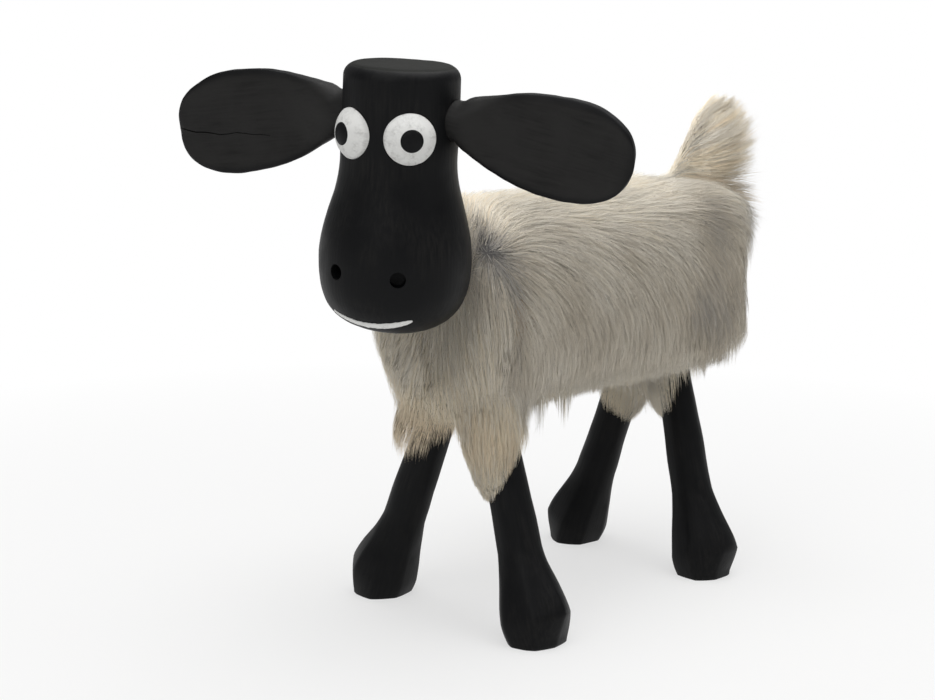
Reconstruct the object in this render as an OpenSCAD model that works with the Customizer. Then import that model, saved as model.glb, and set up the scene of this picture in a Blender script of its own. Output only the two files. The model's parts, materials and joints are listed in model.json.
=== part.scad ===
// Carved wooden farm animal in a fur coat, standing on four splayed legs.
// It faces -Y, its own left side is +X, and its soles rest on z = 0.

/* [Trunk] */
// Radius of the round log inside the coat
core_r = 57; // [50:0.5:64]
// Length of the log
core_len = 266; // [230:1:310]
// Height of the log's axis above the ground
trunk_z = 228; // [190:1:270]
// Rounding of the log's end edges
core_round = 14; // [8:0.5:18]

/* [Coat] */
// Thickness of the coat with its pile
coat_t = 14; // [11:0.5:18]
// Thickness of the bare hide beside the belly seam
hide_t = 2.5; // [2:0.25:4]
// Width of the slit where the hide's edges meet under the belly
seam_w = 3; // [2:0.5:6]
// Width of the trimmed strip along the belly seam
strip_w = 28; // [24:1:36]
// Length of the trimmed strip along the belly seam
strip_len = 132; // [110:1:140]
// Coat between a leg's hole and the end seam of the saddle
seam_margin = 3; // [2:0.5:6]
// Thickness of the collar round the neck
collar_t = 7; // [5:0.5:10]
// Thickness of the cuff round a leg
cuff_t = 6; // [4:0.5:8]
// Length of a cuff below the coat
cuff_len = 34; // [20:1:45]
// Length of the pointed flap below the front left cuff
flap_len = 38; // [20:1:45]
// Width of that flap where it leaves the cuff
flap_w = 26; // [18:1:30]
// Direction of that flap from the leg, seen from above
flap_turn = 223; // [180:1:260]

/* [Legs] */
// Distance of a front sole from the middle plane
front_foot_x = 80; // [70:1:90]
// Distance of a rear sole from the middle plane
rear_foot_x = 68; // [60:1:80]
// Distance of a leg's axis from the log's end, at the log's axis
hip_inset = 25.5; // [23:0.5:34]
// Distance that a sole stands ahead of its hip
leg_rake = 13.5; // [0:0.5:20]
// Radius of a leg at its top
leg_top_r = 12.5; // [10:0.25:15]
// Radius of a leg at its ankle
ankle_r = 15; // [13:0.25:18]
// Height of the ankle along the leg
ankle_h = 62; // [50:1:75]
// Largest radius of a hoof
hoof_r = 24; // [20:0.5:29]
// Height of that radius along the leg
hoof_h = 13; // [8:0.5:18]
// Radius of a hoof's end
sole_r = 20; // [16:0.5:24]
// Length of a hoof past the ground, before it is cut flat
sole_cut = 2; // [1:0.25:4]
// Depth of a leg's seat in the log
leg_seat = 3; // [2:0.25:5]

/* [Head] */
// Largest radius of the muzzle
muzzle_r = 51.5; // [43:0.5:60]
// Depth of the muzzle's bottom below the neck's axis
muzzle_drop = 53; // [45:1:62]
// Depth of the muzzle's widest ring below the neck's axis
muzzle_wide = 4; // [0:0.5:10]
// Squareness of the muzzle's lower curve
muzzle_power = 2.7; // [2:0.1:3.5]
// Height from the widest ring to the upper head
brow_h = 69; // [55:1:80]
// Radius of the upper head
crown_r = 39; // [34:0.5:45]
// Height of the flat crown above the neck's axis
crown_h = 126; // [115:1:150]
// Rounding of the crown's edge
crown_round = 9; // [5:0.5:12]
// Radius of a nostril
nostril_r = 5.2; // [4:0.1:6.5]
// Depth of a nostril
nostril_depth = 9; // [6:0.5:14]
// Turn of a nostril from the middle of the face
nostril_turn = 25.5; // [18:0.5:35]
// Depth of the nostrils below the neck's axis
nostril_drop = 8; // [0:0.5:14]
// Turn of the head to its left
head_turn = 22; // [0:1:30]
// Lean of the head to its left
head_roll = 3; // [0:0.5:6]
// Lean of the crown forward
head_pitch = 3; // [0:0.5:6]
// Distance of the head from the middle plane
head_aside = 16; // [0:1:24]
// Clearance between the muzzle and the chest
head_clear = 4.5; // [3:0.5:9]

/* [Eyes] */
// Radius of an eye button
eye_r = 17; // [13:0.5:20]
// Rise of the button's dome
eye_dome = 8; // [6:0.5:10]
// Depth of the eye's seat below the place where it just clears the round head
eye_sink = 0.6; // [0.4:0.1:1.5]
// Turn of an eye from the middle of the face
eye_turn = 33; // [29:0.5:38]
// Height of the eyes above the neck's axis
eye_z = 82; // [78:0.5:92]
// Radius of a pupil plug
pupil_r = 7.5; // [5:0.25:9]
// Depth of a pupil plug's head
pupil_depth = 6; // [4:0.5:8]
// Radius of the stem that pins the eye to the head
stem_r = 3; // [2:0.25:4]
// Length of that stem inside the head
stem_len = 16; // [10:1:20]

/* [Ears] */
// Length of an ear from its seat
ear_len = 131; // [110:1:158]
// Half height of an ear at its widest
ear_half = 34; // [28:0.5:41]
// Half height of an ear at its root, and radius of its shank
ear_root = 13.5; // [11:0.25:16]
// Distance of the widest place from the seat
ear_wide_at = 81; // [70:1:95]
// Sharpness of the ear's flare from its root
ear_flare = 1.2; // [1:0.05:1.6]
// Squareness of the ear's tip
ear_power = 2.4; // [2:0.1:3]
// Thickness of an ear's blade
ear_t = 12; // [10:0.5:15]
// Length of the round shank
shank_len = 14; // [11:0.5:18]
// Gap between the head and the root of an ear's blade
blade_gap = 2; // [1:0.25:4]
// Length of the taper from the shank to the blade
shank_taper = 30; // [20:1:40]
// Droop of an ear below level
ear_droop = 9.5; // [0:0.5:16]
// Height of the ears above the neck's axis
ear_z = 93; // [88:0.5:100]

/* [Tail] */
// Lean of the tail backward
tail_lean = 30; // [22:1:38]
// Distance of the tail's axis from the log's end edge
tail_inset = 8; // [5:0.5:14]
// Length of the tail from that edge
tail_len = 104; // [85:1:125]
// Largest radius of the tail's fur
tail_r = 24; // [20:0.5:29]
// Radius of the tail's fur at its root
tail_root_r = 20; // [16:0.5:24]
// Distance of the tail's widest place from its root
tail_wide_at = 44; // [35:1:55]
// Radius of the tail peg
tail_peg_r = 6; // [5:0.25:8]
// Length of the tail peg outside the log
tail_peg_out = 70; // [55:1:80]
// Length of the tail peg inside the log
tail_peg_in = 36; // [25:1:42]

/* [Neck and dowels] */
// Radius of the neck block
neck_r = 22; // [18:0.5:26]
// Depth of the neck block's seat behind its front face
neck_len = 54; // [46:1:60]
// Slope of the neck block down into the log
neck_slope = 33; // [25:1:40]
// Rise of the block's axis above the dowel at its front face
neck_lift = 1; // [0:0.5:4]
// Gap between the head and the neck block
neck_gap = 2.5; // [1.5:0.25:4]
// Depth of the neck's axis below the log's top
neck_below = 5; // [0:0.5:10]
// Radius of the neck dowel
neck_dowel_r = 7; // [6:0.25:8.5]
// Length of the neck dowel inside the head
neck_dowel_head = 44; // [30:1:48]
// Length of the neck dowel inside the neck block
neck_dowel_block = 16; // [12:1:20]
// Radius of a leg dowel
leg_dowel_r = 6; // [5:0.25:8]
// Length of a leg dowel inside the leg
leg_dowel_leg = 30; // [22:1:40]
// Length of a leg dowel inside the log
leg_dowel_core = 28; // [20:1:32]
// Radius of an ear dowel
ear_dowel_r = 4; // [3:0.25:5]
// Length of an ear dowel inside the ear
ear_dowel_ear = 26; // [20:1:30]
// Length of an ear dowel inside the head
ear_dowel_head = 24; // [18:1:26]

/* [Tacks] */
// Tacks in each row beside the belly seam
tack_count = 5; // [3:1:7]
// Distance between the tacks of a row
tack_pitch = 27; // [20:1:32]
// Distance of a row from the seam's middle
tack_row = 7; // [6:0.5:9]
// Radius of a tack's head
tack_head_r = 3.6; // [3:0.1:4.5]
// Thickness of a tack's head
tack_head_t = 1; // [0.8:0.1:1.5]
// Radius of a tack's shank
tack_r = 0.9; // [0.8:0.05:1.2]
// Length of a tack's shank
tack_len = 14; // [10:0.5:18]

/* [Fits] */
// Radial clearance of a dowel or pin in its hole
dowel_fit = 0.05; // [0.02:0.01:0.1]
// Gap at a wooden seat or at the bottom of a blind hole
seat_gap = 0.1; // [0.05:0.05:0.3]
// Gap round coat pieces and ear shanks
soft_gap = 0.3; // [0.2:0.05:0.5]

/* [Hidden] */
$fn = 96;
PAINT = [0.05, 0.048, 0.046];
BARE_WOOD = [0.72, 0.56, 0.38];
EYE_PAINT = [0.88, 0.87, 0.83];
FUR = [0.83, 0.77, 0.66];
STEEL = [0.62, 0.62, 0.64];
LEFT = 1;
RIGHT = -1;
// Size of a block that cuts away everything on one side
far = 900;

// Places on the trunk
front_y = -core_len / 2;
rear_y = core_len / 2;
core_top = trunk_z + core_r;
tail_root = [0, rear_y - tail_inset, core_top - tail_inset];

// Places on the legs, front then rear
hip_y = [front_y + hip_inset, rear_y - hip_inset];
foot_x = [front_foot_x, rear_foot_x];
function hip(end) = [0, hip_y[end], trunk_z];
function sole(end, side) = [side * foot_x[end], hip_y[end] - leg_rake, 0];
function leg_len(end) = norm(hip(end) - sole(end, LEFT)) - core_r + leg_seat;
function hoof_flare(s) = (1 + cos(180 * (s - hoof_h) / (ankle_h - hoof_h))) / 2;
function leg_r(s, end) =
    s < ankle_h ? ankle_r + (hoof_r - ankle_r) * hoof_flare(s)
                : ankle_r + (leg_top_r - ankle_r) * (s - ankle_h) / (leg_len(end) - ankle_h);
function cuff_end(end, flap) = leg_len(end) - leg_seat - coat_t - cuff_len - flap;
// A leg's place along the trunk where it leaves the coat
function coat_leg_y(end) = hip_y[end] - leg_rake * (core_r + coat_t) / norm(hip(end) - sole(end, LEFT));
leg_hole_r = leg_r(leg_len(0) - leg_seat - coat_t, 0) + soft_gap;
seam_front = coat_leg_y(0) - leg_hole_r - seam_margin;
seam_rear = coat_leg_y(1) + leg_hole_r + seam_margin;

// Places on the head, whose frame has its origin on the neck's axis and its face towards -Y
head_place = [head_aside, front_y - coat_t - muzzle_r - head_clear, core_top - neck_below];
neck_front = muzzle_r + neck_gap;
eye_pocket_r = eye_r + dowel_fit;
eye_seat = sqrt(crown_r * crown_r - eye_pocket_r * eye_pocket_r) - eye_sink;
eye_rim = crown_r - eye_seat;
eye_ball = (eye_r * eye_r + eye_dome * eye_dome) / (2 * eye_dome);
ear_pocket_r = ear_root + soft_gap;
ear_seat = sqrt(crown_r * crown_r - ear_pocket_r * ear_pocket_r) - ear_pocket_r * sin(ear_droop);
blade_start = (crown_r - ear_seat + blade_gap) / cos(ear_droop) + ear_root * tan(ear_droop);

// Middle of the whole outline, from the ear tips and the back of the tail
function spin_x(p, a) = [p.x, p.y * cos(a) - p.z * sin(a), p.y * sin(a) + p.z * cos(a)];
function spin_y(p, a) = [p.x * cos(a) + p.z * sin(a), p.y, p.z * cos(a) - p.x * sin(a)];
function spin_z(p, a) = [p.x * cos(a) - p.y * sin(a), p.x * sin(a) + p.y * cos(a), p.z];
function head_vector(p) = spin_z(spin_y(spin_x(p, head_pitch), head_roll), head_turn);
function in_head(p) = head_place + head_vector(p);
function ear_point(side, s) =
    in_head([side * (ear_seat + s * cos(ear_droop)), 0, ear_z - s * sin(ear_droop)]);
tail_back = [(tail_len - tail_wide_at) * sin(tail_lean), tail_r * cos(tail_lean)];
back_y = tail_root.y + tail_wide_at * sin(tail_lean) + norm(tail_back);
tip_y = ear_point(RIGHT, ear_len).y - ear_t / 2 * cos(head_turn);
middle = [(ear_point(LEFT, ear_len).x + ear_point(RIGHT, ear_len).x) / 2, (tip_y + back_y) / 2, 0];

// Axes of the joints, for whoever mounts the part
echo(neck_axis_at = in_head([0, neck_front, 0]) - middle, neck_axis = head_vector([0, 1, 0]));
for (side = [LEFT, RIGHT])
    echo(ear_axis_at = ear_point(side, 0) - middle, ear_axis = ear_point(side, 1) - ear_point(side, 0));
for (end = [0, 1], side = [LEFT, RIGHT])
    echo(sole_at = sole(end, side) - middle);

// Frames that pieces are placed in

module stand() {
    translate(-middle) children();
}

module head_frame() {
    stand() translate(head_place) rotate([head_pitch, head_roll, head_turn]) children();
}

// Its z axis runs up a leg from the middle of the sole to the log's axis
module leg_frame(end, side) {
    way = hip(end) - sole(end, side);
    translate(sole(end, side)) rotate([0, acos(way.z / norm(way)), atan2(way.y, way.x)]) children();
}

// Its z axis runs back and down through the neck block, in the middle plane of the trunk
module neck_frame() {
    face = in_head([0, neck_front, 0]);
    translate([0, face.y, face.z + neck_lift]) rotate([-90 - neck_slope, 0, 0]) children();
}

module tail_frame() {
    translate(tail_root) rotate([-tail_lean, 0, 0]) children();
}

// Its z axis points out of the seat of an eye
module eye_frame(side) {
    rotate([0, 0, side * eye_turn]) translate([0, -eye_seat, eye_z]) rotate([90, 0, 0]) children();
}

// Its z axis runs along an ear, away from the head
module ear_frame(side) {
    translate([side * ear_seat, 0, ear_z]) rotate([0, side * (90 + ear_droop), 0]) children();
}

// Its z axis runs out of the log through a tack
module tack_frame(side, row) {
    turn = side * asin(tack_row / core_r);
    translate([0, (row - (tack_count - 1) / 2) * tack_pitch, trunk_z]) rotate([0, 180 + turn, 0]) children();
}

// Shapes that more than one piece uses

// A drilled or turned length between two heights
module rod(r, low, high) {
    translate([0, 0, low]) cylinder(r = r, h = high - low);
}

// The log's shape, grown outwards all round
module trunk_form(grow) {
    r = core_r + grow;
    edge = core_round + grow;
    low = front_y - grow;
    high = rear_y + grow;
    outline = concat(
        [[0, low]],
        [for (a = [0:9:90]) [r - edge + edge * sin(a), low + edge - edge * cos(a)]],
        [for (a = [0:9:90]) [r - edge + edge * cos(a), high - edge + edge * sin(a)]],
        [[0, high]]
    );
    translate([0, 0, trunk_z]) rotate([-90, 0, 0]) rotate_extrude() polygon(outline);
}

// Everything between two places along the trunk
module slab(low, high) {
    translate([-far / 2, low, trunk_z - far / 2]) cube([far, high - low, far]);
}

// Coat over the log between two places along the trunk
module coat_band(low, high) {
    difference() {
        intersection() {
            trunk_form(coat_t);
            slab(low, high);
        }
        trunk_form(soft_gap);
    }
}

// Room for the neck block, wider by a gap
module neck_room(gap, seat) {
    neck_frame() rod(neck_r + gap, -2 * neck_r, neck_len + seat);
}

module tack_holes() {
    for (side = [LEFT, RIGHT], row = [0:tack_count - 1])
        tack_frame(side, row) rod(tack_r + dowel_fit, core_r + soft_gap + hide_t - tack_len, core_r + coat_t);
}

// Wooden frame

module trunk_core() {
    color(BARE_WOOD) stand() difference() {
        trunk_form(0);
        neck_room(dowel_fit, seat_gap);
        tail_frame() rod(tail_peg_r + dowel_fit, -tail_peg_in - seat_gap, tail_len);
        for (end = [0, 1], side = [LEFT, RIGHT])
            leg_frame(end, side) {
                rod(leg_top_r + soft_gap, leg_len(end) - core_r / 2, leg_len(end) + seat_gap);
                rod(leg_dowel_r + dowel_fit, leg_len(end), leg_len(end) + leg_dowel_core + seat_gap);
            }
        tack_holes();
    }
}

module neck_block() {
    color(BARE_WOOD) difference() {
        stand() neck_room(0, 0);
        head_frame() translate([-far / 2, neck_front - far, -far / 2]) cube([far, far, far]);
        head_frame() rotate([-90, 0, 0])
            rod(neck_dowel_r + dowel_fit, neck_front - neck_gap, neck_front + neck_dowel_block + seat_gap);
    }
}

module neck_dowel() {
    color(BARE_WOOD) head_frame() rotate([-90, 0, 0])
        rod(neck_dowel_r, muzzle_r - neck_dowel_head, neck_front + neck_dowel_block);
}

module tail_peg() {
    color(BARE_WOOD) stand() tail_frame() rod(tail_peg_r, -tail_peg_in, tail_peg_out);
}

// A turned leg with a flared hoof, cut flat where it stands
module leg(end, side) {
    top = leg_len(end);
    step = (ankle_h - hoof_h) / 7;
    outline = concat(
        [[0, -sole_cut], [sole_r, -sole_cut], [hoof_r, hoof_h]],
        [for (i = [1:6]) [leg_r(hoof_h + i * step, end), hoof_h + i * step]],
        [[ankle_r, ankle_h], [leg_top_r, top], [0, top]]
    );
    color(PAINT) stand() difference() {
        leg_frame(end, side) rotate([0, 0, 90]) rotate_extrude() polygon(outline);
        translate([-far / 2, -far / 2, -far]) cube([far, far, far]);
        leg_frame(end, side) rod(leg_dowel_r + dowel_fit, top - leg_dowel_leg - seat_gap, top + leg_seat);
    }
}

module leg_dowel(end, side) {
    top = leg_len(end);
    color(BARE_WOOD) stand() leg_frame(end, side) rod(leg_dowel_r, top - leg_dowel_leg, top + leg_dowel_core);
}

// Fur coat

module hide_saddle() {
    strip_z = core_r + coat_t;
    color(FUR) stand() difference() {
        coat_band(seam_front, seam_rear);
        difference() {
            translate([-strip_w / 2, -strip_len / 2, trunk_z - 2 * strip_z])
                cube([strip_w, strip_len, 2 * strip_z]);
            translate([0, 0, trunk_z]) rotate([90, 0, 0])
                cylinder(r = core_r + soft_gap + hide_t, h = core_len, center = true);
        }
        translate([-seam_w / 2, front_y, trunk_z - 2 * strip_z]) cube([seam_w, core_len, 2 * strip_z]);
        for (end = [0, 1], side = [LEFT, RIGHT])
            leg_frame(end, side) rod(leg_hole_r, leg_len(end) - core_r, leg_len(end));
        neck_room(soft_gap, 0);
        tack_holes();
    }
}

module hide_chest() {
    color(FUR) stand() difference() {
        coat_band(front_y - far / 2, seam_front - soft_gap);
        neck_room(soft_gap, 0);
    }
}

module hide_rump() {
    color(FUR) stand() difference() {
        coat_band(seam_rear + soft_gap, rear_y + far / 2);
        tail_frame() rod(tail_peg_r + soft_gap, -tail_peg_in, tail_len);
    }
}

module hide_neck() {
    color(FUR) difference() {
        stand() neck_room(collar_t, 0);
        stand() neck_room(soft_gap, neck_len);
        head_frame() translate([-far / 2, neck_front - far, -far / 2]) cube([far, far, far]);
        stand() trunk_form(coat_t + soft_gap);
    }
}

module hide_tail() {
    outline = concat(
        [[0, 0], [tail_root_r, 0]],
        [for (a = [0:9:81]) [tail_r * cos(a), tail_wide_at + (tail_len - tail_wide_at) * sin(a)]],
        [[0, tail_len]]
    );
    color(FUR) stand() difference() {
        tail_frame() rotate_extrude() polygon(outline);
        tail_frame() rod(tail_peg_r + soft_gap, -tail_peg_in, tail_peg_out + soft_gap);
        trunk_form(coat_t + soft_gap);
    }
}

// A furry ring under the coat at a leg's top, with a pointed flap where flap is over 0
module hide_cuff(end, side, flap) {
    low = cuff_end(end, 0);
    bore = leg_r(cuff_end(end, flap), end) + soft_gap;
    color(FUR) stand() difference() {
        leg_frame(end, side) union() {
            rod(bore + cuff_t, low, leg_len(end));
            if (flap > 0)
                intersection() {
                    rod(bore + cuff_t, low - flap, low + cuff_t);
                    rotate([0, 0, flap_turn - atan2(leg_rake, -side * foot_x[end])])
                        rotate([90, 0, 90]) linear_extrude(far)
                            polygon([[-flap_w / 2, low], [0, low - flap], [flap_w / 2, low],
                                     [flap_w / 2, low + cuff_t], [-flap_w / 2, low + cuff_t]]);
                }
        }
        leg_frame(end, side) rod(bore, low - far, leg_len(end) + far);
        trunk_form(coat_t + soft_gap);
        translate([side > 0 ? soft_gap / 2 - far : -soft_gap / 2, -far / 2, -far / 2]) cube([far, far, far]);
    }
}

module belly_tacks() {
    under = core_r + soft_gap + hide_t + seat_gap;
    color(STEEL) stand() for (side = [LEFT, RIGHT], row = [0:tack_count - 1])
        tack_frame(side, row) {
            rod(tack_head_r, under, under + tack_head_t);
            rod(tack_r, under + seat_gap - tack_len, under + tack_head_t);
        }
}

// Head

// A bottle-shaped outline from the muzzle's bottom to the crown
function head_outline() = concat(
    [for (a = [0:6:90]) [
        muzzle_r * pow(sin(a), 2 / muzzle_power),
        -muzzle_wide - (muzzle_drop - muzzle_wide) * pow(cos(a), 2 / muzzle_power)
    ]],
    [for (t = [1 / 12:1 / 12:1.01]) [
        crown_r + (muzzle_r - crown_r) * (1 + cos(180 * t)) / 2,
        brow_h * t - muzzle_wide
    ]],
    [for (a = [0:15:90]) [
        crown_r - crown_round * (1 - cos(a)),
        crown_h - crown_round * (1 - sin(a))
    ]],
    [[0, crown_h]]
);

module head_block() {
    color(PAINT) head_frame() difference() {
        rotate_extrude() polygon(head_outline());
        rotate([-90, 0, 0]) rod(neck_dowel_r + dowel_fit, muzzle_r - neck_dowel_head - seat_gap, neck_front);
        for (side = [LEFT, RIGHT]) {
            eye_frame(side) {
                rod(eye_pocket_r, 0, crown_r);
                rod(stem_r + dowel_fit, -stem_len - seat_gap, crown_r);
            }
            rotate([0, 0, side * nostril_turn]) translate([0, 0, -nostril_drop]) rotate([90, 0, 0])
                rod(nostril_r, muzzle_r - nostril_depth, muzzle_r + nostril_depth);
            ear_frame(side) {
                rod(ear_pocket_r, 0, crown_r);
                rod(ear_dowel_r + dowel_fit, -ear_dowel_head - seat_gap, crown_r);
            }
        }
    }
}

// Height of the eye's dome over its seat, at a distance from its middle
function dome_z(q) = eye_rim + eye_dome - eye_ball + sqrt(eye_ball * eye_ball - q * q);

module eye(side) {
    steps = 12;
    outline = concat(
        [[0, seat_gap], [eye_r, seat_gap]],
        [for (i = [0:steps]) let (q = eye_r * (1 - i / steps)) [q, dome_z(q)]]
    );
    color(EYE_PAINT) head_frame() eye_frame(side) difference() {
        rotate_extrude() polygon(outline);
        rod(pupil_r + dowel_fit, dome_z(0) - pupil_depth, dome_z(0) + eye_dome);
        rod(stem_r + dowel_fit, -eye_rim, dome_z(0));
    }
}

// A domed plug whose stem pins the eye to the head
module pupil(side) {
    steps = 6;
    under = dome_z(0) - pupil_depth + seat_gap;
    outline = concat(
        [[0, -stem_len], [stem_r, -stem_len], [stem_r, under], [pupil_r, under]],
        [for (i = [0:steps]) let (q = pupil_r * (1 - i / steps)) [q, dome_z(q) + soft_gap]]
    );
    color(PAINT) head_frame() eye_frame(side) rotate_extrude() polygon(outline);
}

// Half height of an ear's blade at a distance from its seat
function ear_edge(s) =
    let (past = (s - ear_wide_at) / (ear_len - ear_wide_at))
    past < 0 ? ear_root + (ear_half - ear_root) * pow(sin(90 * s / ear_wide_at), ear_flare)
             : ear_half * pow(1 - pow(past, ear_power), 1 / ear_power);

module ear(side) {
    root = [for (t = [0:1 / 8:1]) blade_start + (ear_wide_at - blade_start) * t];
    tip = [for (a = [15:15:75]) ear_wide_at + (ear_len - ear_wide_at) * pow(sin(a), 2 / ear_power)];
    places = concat(root, tip);
    last = len(places) - 1;
    outline = concat(
        [for (i = [0:last]) [ear_edge(places[i]), places[i]]],
        [[0, ear_len]],
        [for (i = [last:-1:0]) [-ear_edge(places[i]), places[i]]]
    );
    color(PAINT) head_frame() ear_frame(side) difference() {
        union() {
            rotate([90, 0, 0]) linear_extrude(ear_t, center = true) polygon(outline);
            rod(ear_root, soft_gap, shank_len);
            translate([0, 0, shank_len]) cylinder(r1 = ear_root, r2 = ear_t / 2, h = shank_taper);
        }
        rod(ear_dowel_r + dowel_fit, 0, ear_dowel_ear + seat_gap);
    }
}

module ear_dowel(side) {
    color(BARE_WOOD) head_frame() ear_frame(side) rod(ear_dowel_r, -ear_dowel_head, ear_dowel_ear);
}

trunk_core();
neck_block();
neck_dowel();
tail_peg();
leg(0, LEFT);  // leg_front_left
leg(0, RIGHT);  // leg_front_right
leg(1, LEFT);  // leg_rear_left
leg(1, RIGHT);  // leg_rear_right
leg_dowel(0, LEFT);  // leg_dowel_front_left
leg_dowel(0, RIGHT);  // leg_dowel_front_right
leg_dowel(1, LEFT);  // leg_dowel_rear_left
leg_dowel(1, RIGHT);  // leg_dowel_rear_right
hide_saddle();
hide_chest();
hide_rump();
hide_neck();
hide_tail();
hide_cuff(0, LEFT, flap_len);  // hide_cuff_front_left
hide_cuff(0, RIGHT, 0);  // hide_cuff_front_right
hide_cuff(1, LEFT, 0);  // hide_cuff_rear_left
hide_cuff(1, RIGHT, 0);  // hide_cuff_rear_right
belly_tacks();
head_block();
eye(LEFT);  // eye_left
eye(RIGHT);  // eye_right
pupil(LEFT);  // pupil_left
pupil(RIGHT);  // pupil_right
ear(LEFT);  // ear_left
ear(RIGHT);  // ear_right
ear_dowel(LEFT);  // ear_dowel_left
ear_dowel(RIGHT);  // ear_dowel_right
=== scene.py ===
"""Looks of a carved wooden farm animal in a fur coat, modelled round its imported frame."""

import json
import math

import bmesh
import bpy
import numpy as np
from bpy.props import FloatProperty, FloatVectorProperty, IntProperty, PointerProperty
from mathutils import Matrix, Vector, kdtree, noise


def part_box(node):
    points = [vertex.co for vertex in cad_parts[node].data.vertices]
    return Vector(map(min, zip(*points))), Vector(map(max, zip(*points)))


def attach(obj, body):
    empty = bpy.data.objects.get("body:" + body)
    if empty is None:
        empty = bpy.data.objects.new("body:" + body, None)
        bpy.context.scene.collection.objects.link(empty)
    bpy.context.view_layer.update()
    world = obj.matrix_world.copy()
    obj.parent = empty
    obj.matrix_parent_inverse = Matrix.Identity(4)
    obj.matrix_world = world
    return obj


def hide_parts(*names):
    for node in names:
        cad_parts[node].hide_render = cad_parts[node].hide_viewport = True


bl_info = {
    "name": "Carved Animal in a Fur Coat",
    "version": (1, 0, 0),
    "blender": (4, 5, 0),
    "location": "3D View > Sidebar > Carved Animal",
    "description": "Models the head, ears, legs and fur of a carved animal round its frame",
    "category": "Object",
}

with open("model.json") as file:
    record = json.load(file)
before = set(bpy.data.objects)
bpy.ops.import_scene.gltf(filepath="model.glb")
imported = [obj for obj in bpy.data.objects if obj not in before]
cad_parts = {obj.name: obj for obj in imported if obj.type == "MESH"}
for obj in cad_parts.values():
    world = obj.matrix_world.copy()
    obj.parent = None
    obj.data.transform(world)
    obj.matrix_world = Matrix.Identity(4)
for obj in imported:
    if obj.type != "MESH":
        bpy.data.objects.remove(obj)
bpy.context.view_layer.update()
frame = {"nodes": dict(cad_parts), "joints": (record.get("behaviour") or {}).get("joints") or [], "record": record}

JOINTS = {joint["name"]: joint for joint in frame["joints"]}
SOLES = {mount["name"].removeprefix("sole_"): Vector(mount["pos_m"]) for mount in frame["record"]["mounts"]}
LOG_LOW, LOG_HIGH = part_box("trunk_core")
LOG = (LOG_LOW + LOG_HIGH) / 2
UP = Vector((0, 0, 1))
BACK = Vector((0, 1, 0))
SIDES = {"left": 1, "right": -1}
# Gap round a glued piece and round one that turns, in metres
FIT = 0.00005
LOOSE = 0.0003


def joint_place(name):
    return Vector(JOINTS[name]["pos_m"])


def joint_axis(name):
    return Vector(JOINTS[name]["axis"]).normalized()


def frame_of(across, back, up, origin):
    """Matrix whose axes are these three directions, with this origin."""
    matrix = Matrix((across, back, up)).transposed().to_4x4()
    matrix.translation = origin
    return matrix


def head_frame():
    """The head's own frame: origin on the neck's axis, face towards -Y, crown up."""
    left = joint_place("ear_left_twist")
    right = joint_place("ear_right_twist")
    neck = joint_place("head_cock")
    across = (left - right).normalized()
    back = joint_axis("head_cock")
    middle = (left + right) / 2
    origin = neck - back * (neck - middle).dot(back)
    return frame_of(across, back, across.cross(back), origin)


HEAD = head_frame()


def ear_frame(name):
    """An ear's own frame: Z out along the ear, face towards -Y."""
    out = joint_axis(name + "_twist")
    back = HEAD.to_3x3() @ BACK
    return frame_of(back.cross(out), back, out, joint_place(name + "_twist"))


def number(name, description, default, **options):
    return FloatProperty(name=name, description=description, default=default, **options)


def size(name, description, default):
    return number(name, description, default, unit="LENGTH", precision=4)


def turn(name, description, degrees):
    return number(name, description, math.radians(degrees), subtype="ANGLE")


def share(name, description, default):
    return number(name, description, default, min=0, max=1, subtype="FACTOR")


def watts(name, description, default):
    return number(name, description, default, unit="POWER")


def colour(name, description, default):
    return FloatVectorProperty(
        name=name, description=description, default=default, size=3, min=0, max=1, subtype="COLOR"
    )


class HeadSizes(bpy.types.PropertyGroup):
    muzzle_r: size("Muzzle radius", "Largest radius of the muzzle", 0.0515)
    muzzle_drop: size("Muzzle drop", "Depth of the muzzle's bottom below the neck's axis", 0.053)
    muzzle_wide: size("Widest ring", "Depth of the muzzle's widest ring below the neck's axis", 0.004)
    muzzle_power: number("Muzzle squareness", "Power of the lower curve", 2.7)
    brow_h: size("Brow height", "Height from the widest ring to the upper head", 0.069)
    crown_r: size("Crown radius", "Radius of the upper head", 0.039)
    crown_h: size("Crown height", "Height of the flat crown above the neck's axis", 0.126)
    crown_round: size("Crown rounding", "Rounding of the crown's edge", 0.009)
    carve: size("Carving", "Height of the knife's unevenness", 0.0005)
    neck_bore_r: size("Neck bore", "Radius of the bore for the neck dowel", 0.00705)
    neck_bore_depth: size("Neck bore depth", "Depth of that bore from the back of the muzzle", 0.0441)
    nostril_r: size("Nostril radius", "Radius of a nostril", 0.0052)
    nostril_depth: size("Nostril depth", "Depth of a nostril", 0.009)
    nostril_turn: turn("Nostril turn", "Turn of a nostril from the middle of the face", 25.5)
    nostril_drop: size("Nostril drop", "Depth of the nostrils below the neck's axis", 0.008)
    eye_r: size("Eye radius", "Radius of an eye button", 0.017)
    eye_dome: size("Eye dome", "Rise of the button's dome", 0.008)
    eye_sink: size("Eye sink", "Depth of the eye's seat below the round head", 0.0006)
    eye_turn: turn("Eye turn", "Turn of an eye from the middle of the face", 33)
    eye_z: size("Eye height", "Height of the eyes above the neck's axis", 0.082)
    pupil_r: size("Pupil radius", "Radius of a pupil plug", 0.0075)
    pupil_depth: size("Pupil depth", "Depth of a pupil plug's head", 0.006)
    stem_r: size("Stem radius", "Radius of the stem that pins the eye", 0.003)
    stem_len: size("Stem length", "Length of that stem inside the head", 0.016)
    mouth_turn: turn("Mouth turn", "Turn of the mouth's ends from the middle of the face", 40)
    mouth_z: size("Mouth height", "Height of the mouth's middle, from the neck's axis", -0.0425)
    mouth_rise: size("Mouth rise", "Rise of the mouth's ends over its middle", 0.0055)
    mouth_w: size("Mouth width", "Width of the painted mouth", 0.0034)


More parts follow.
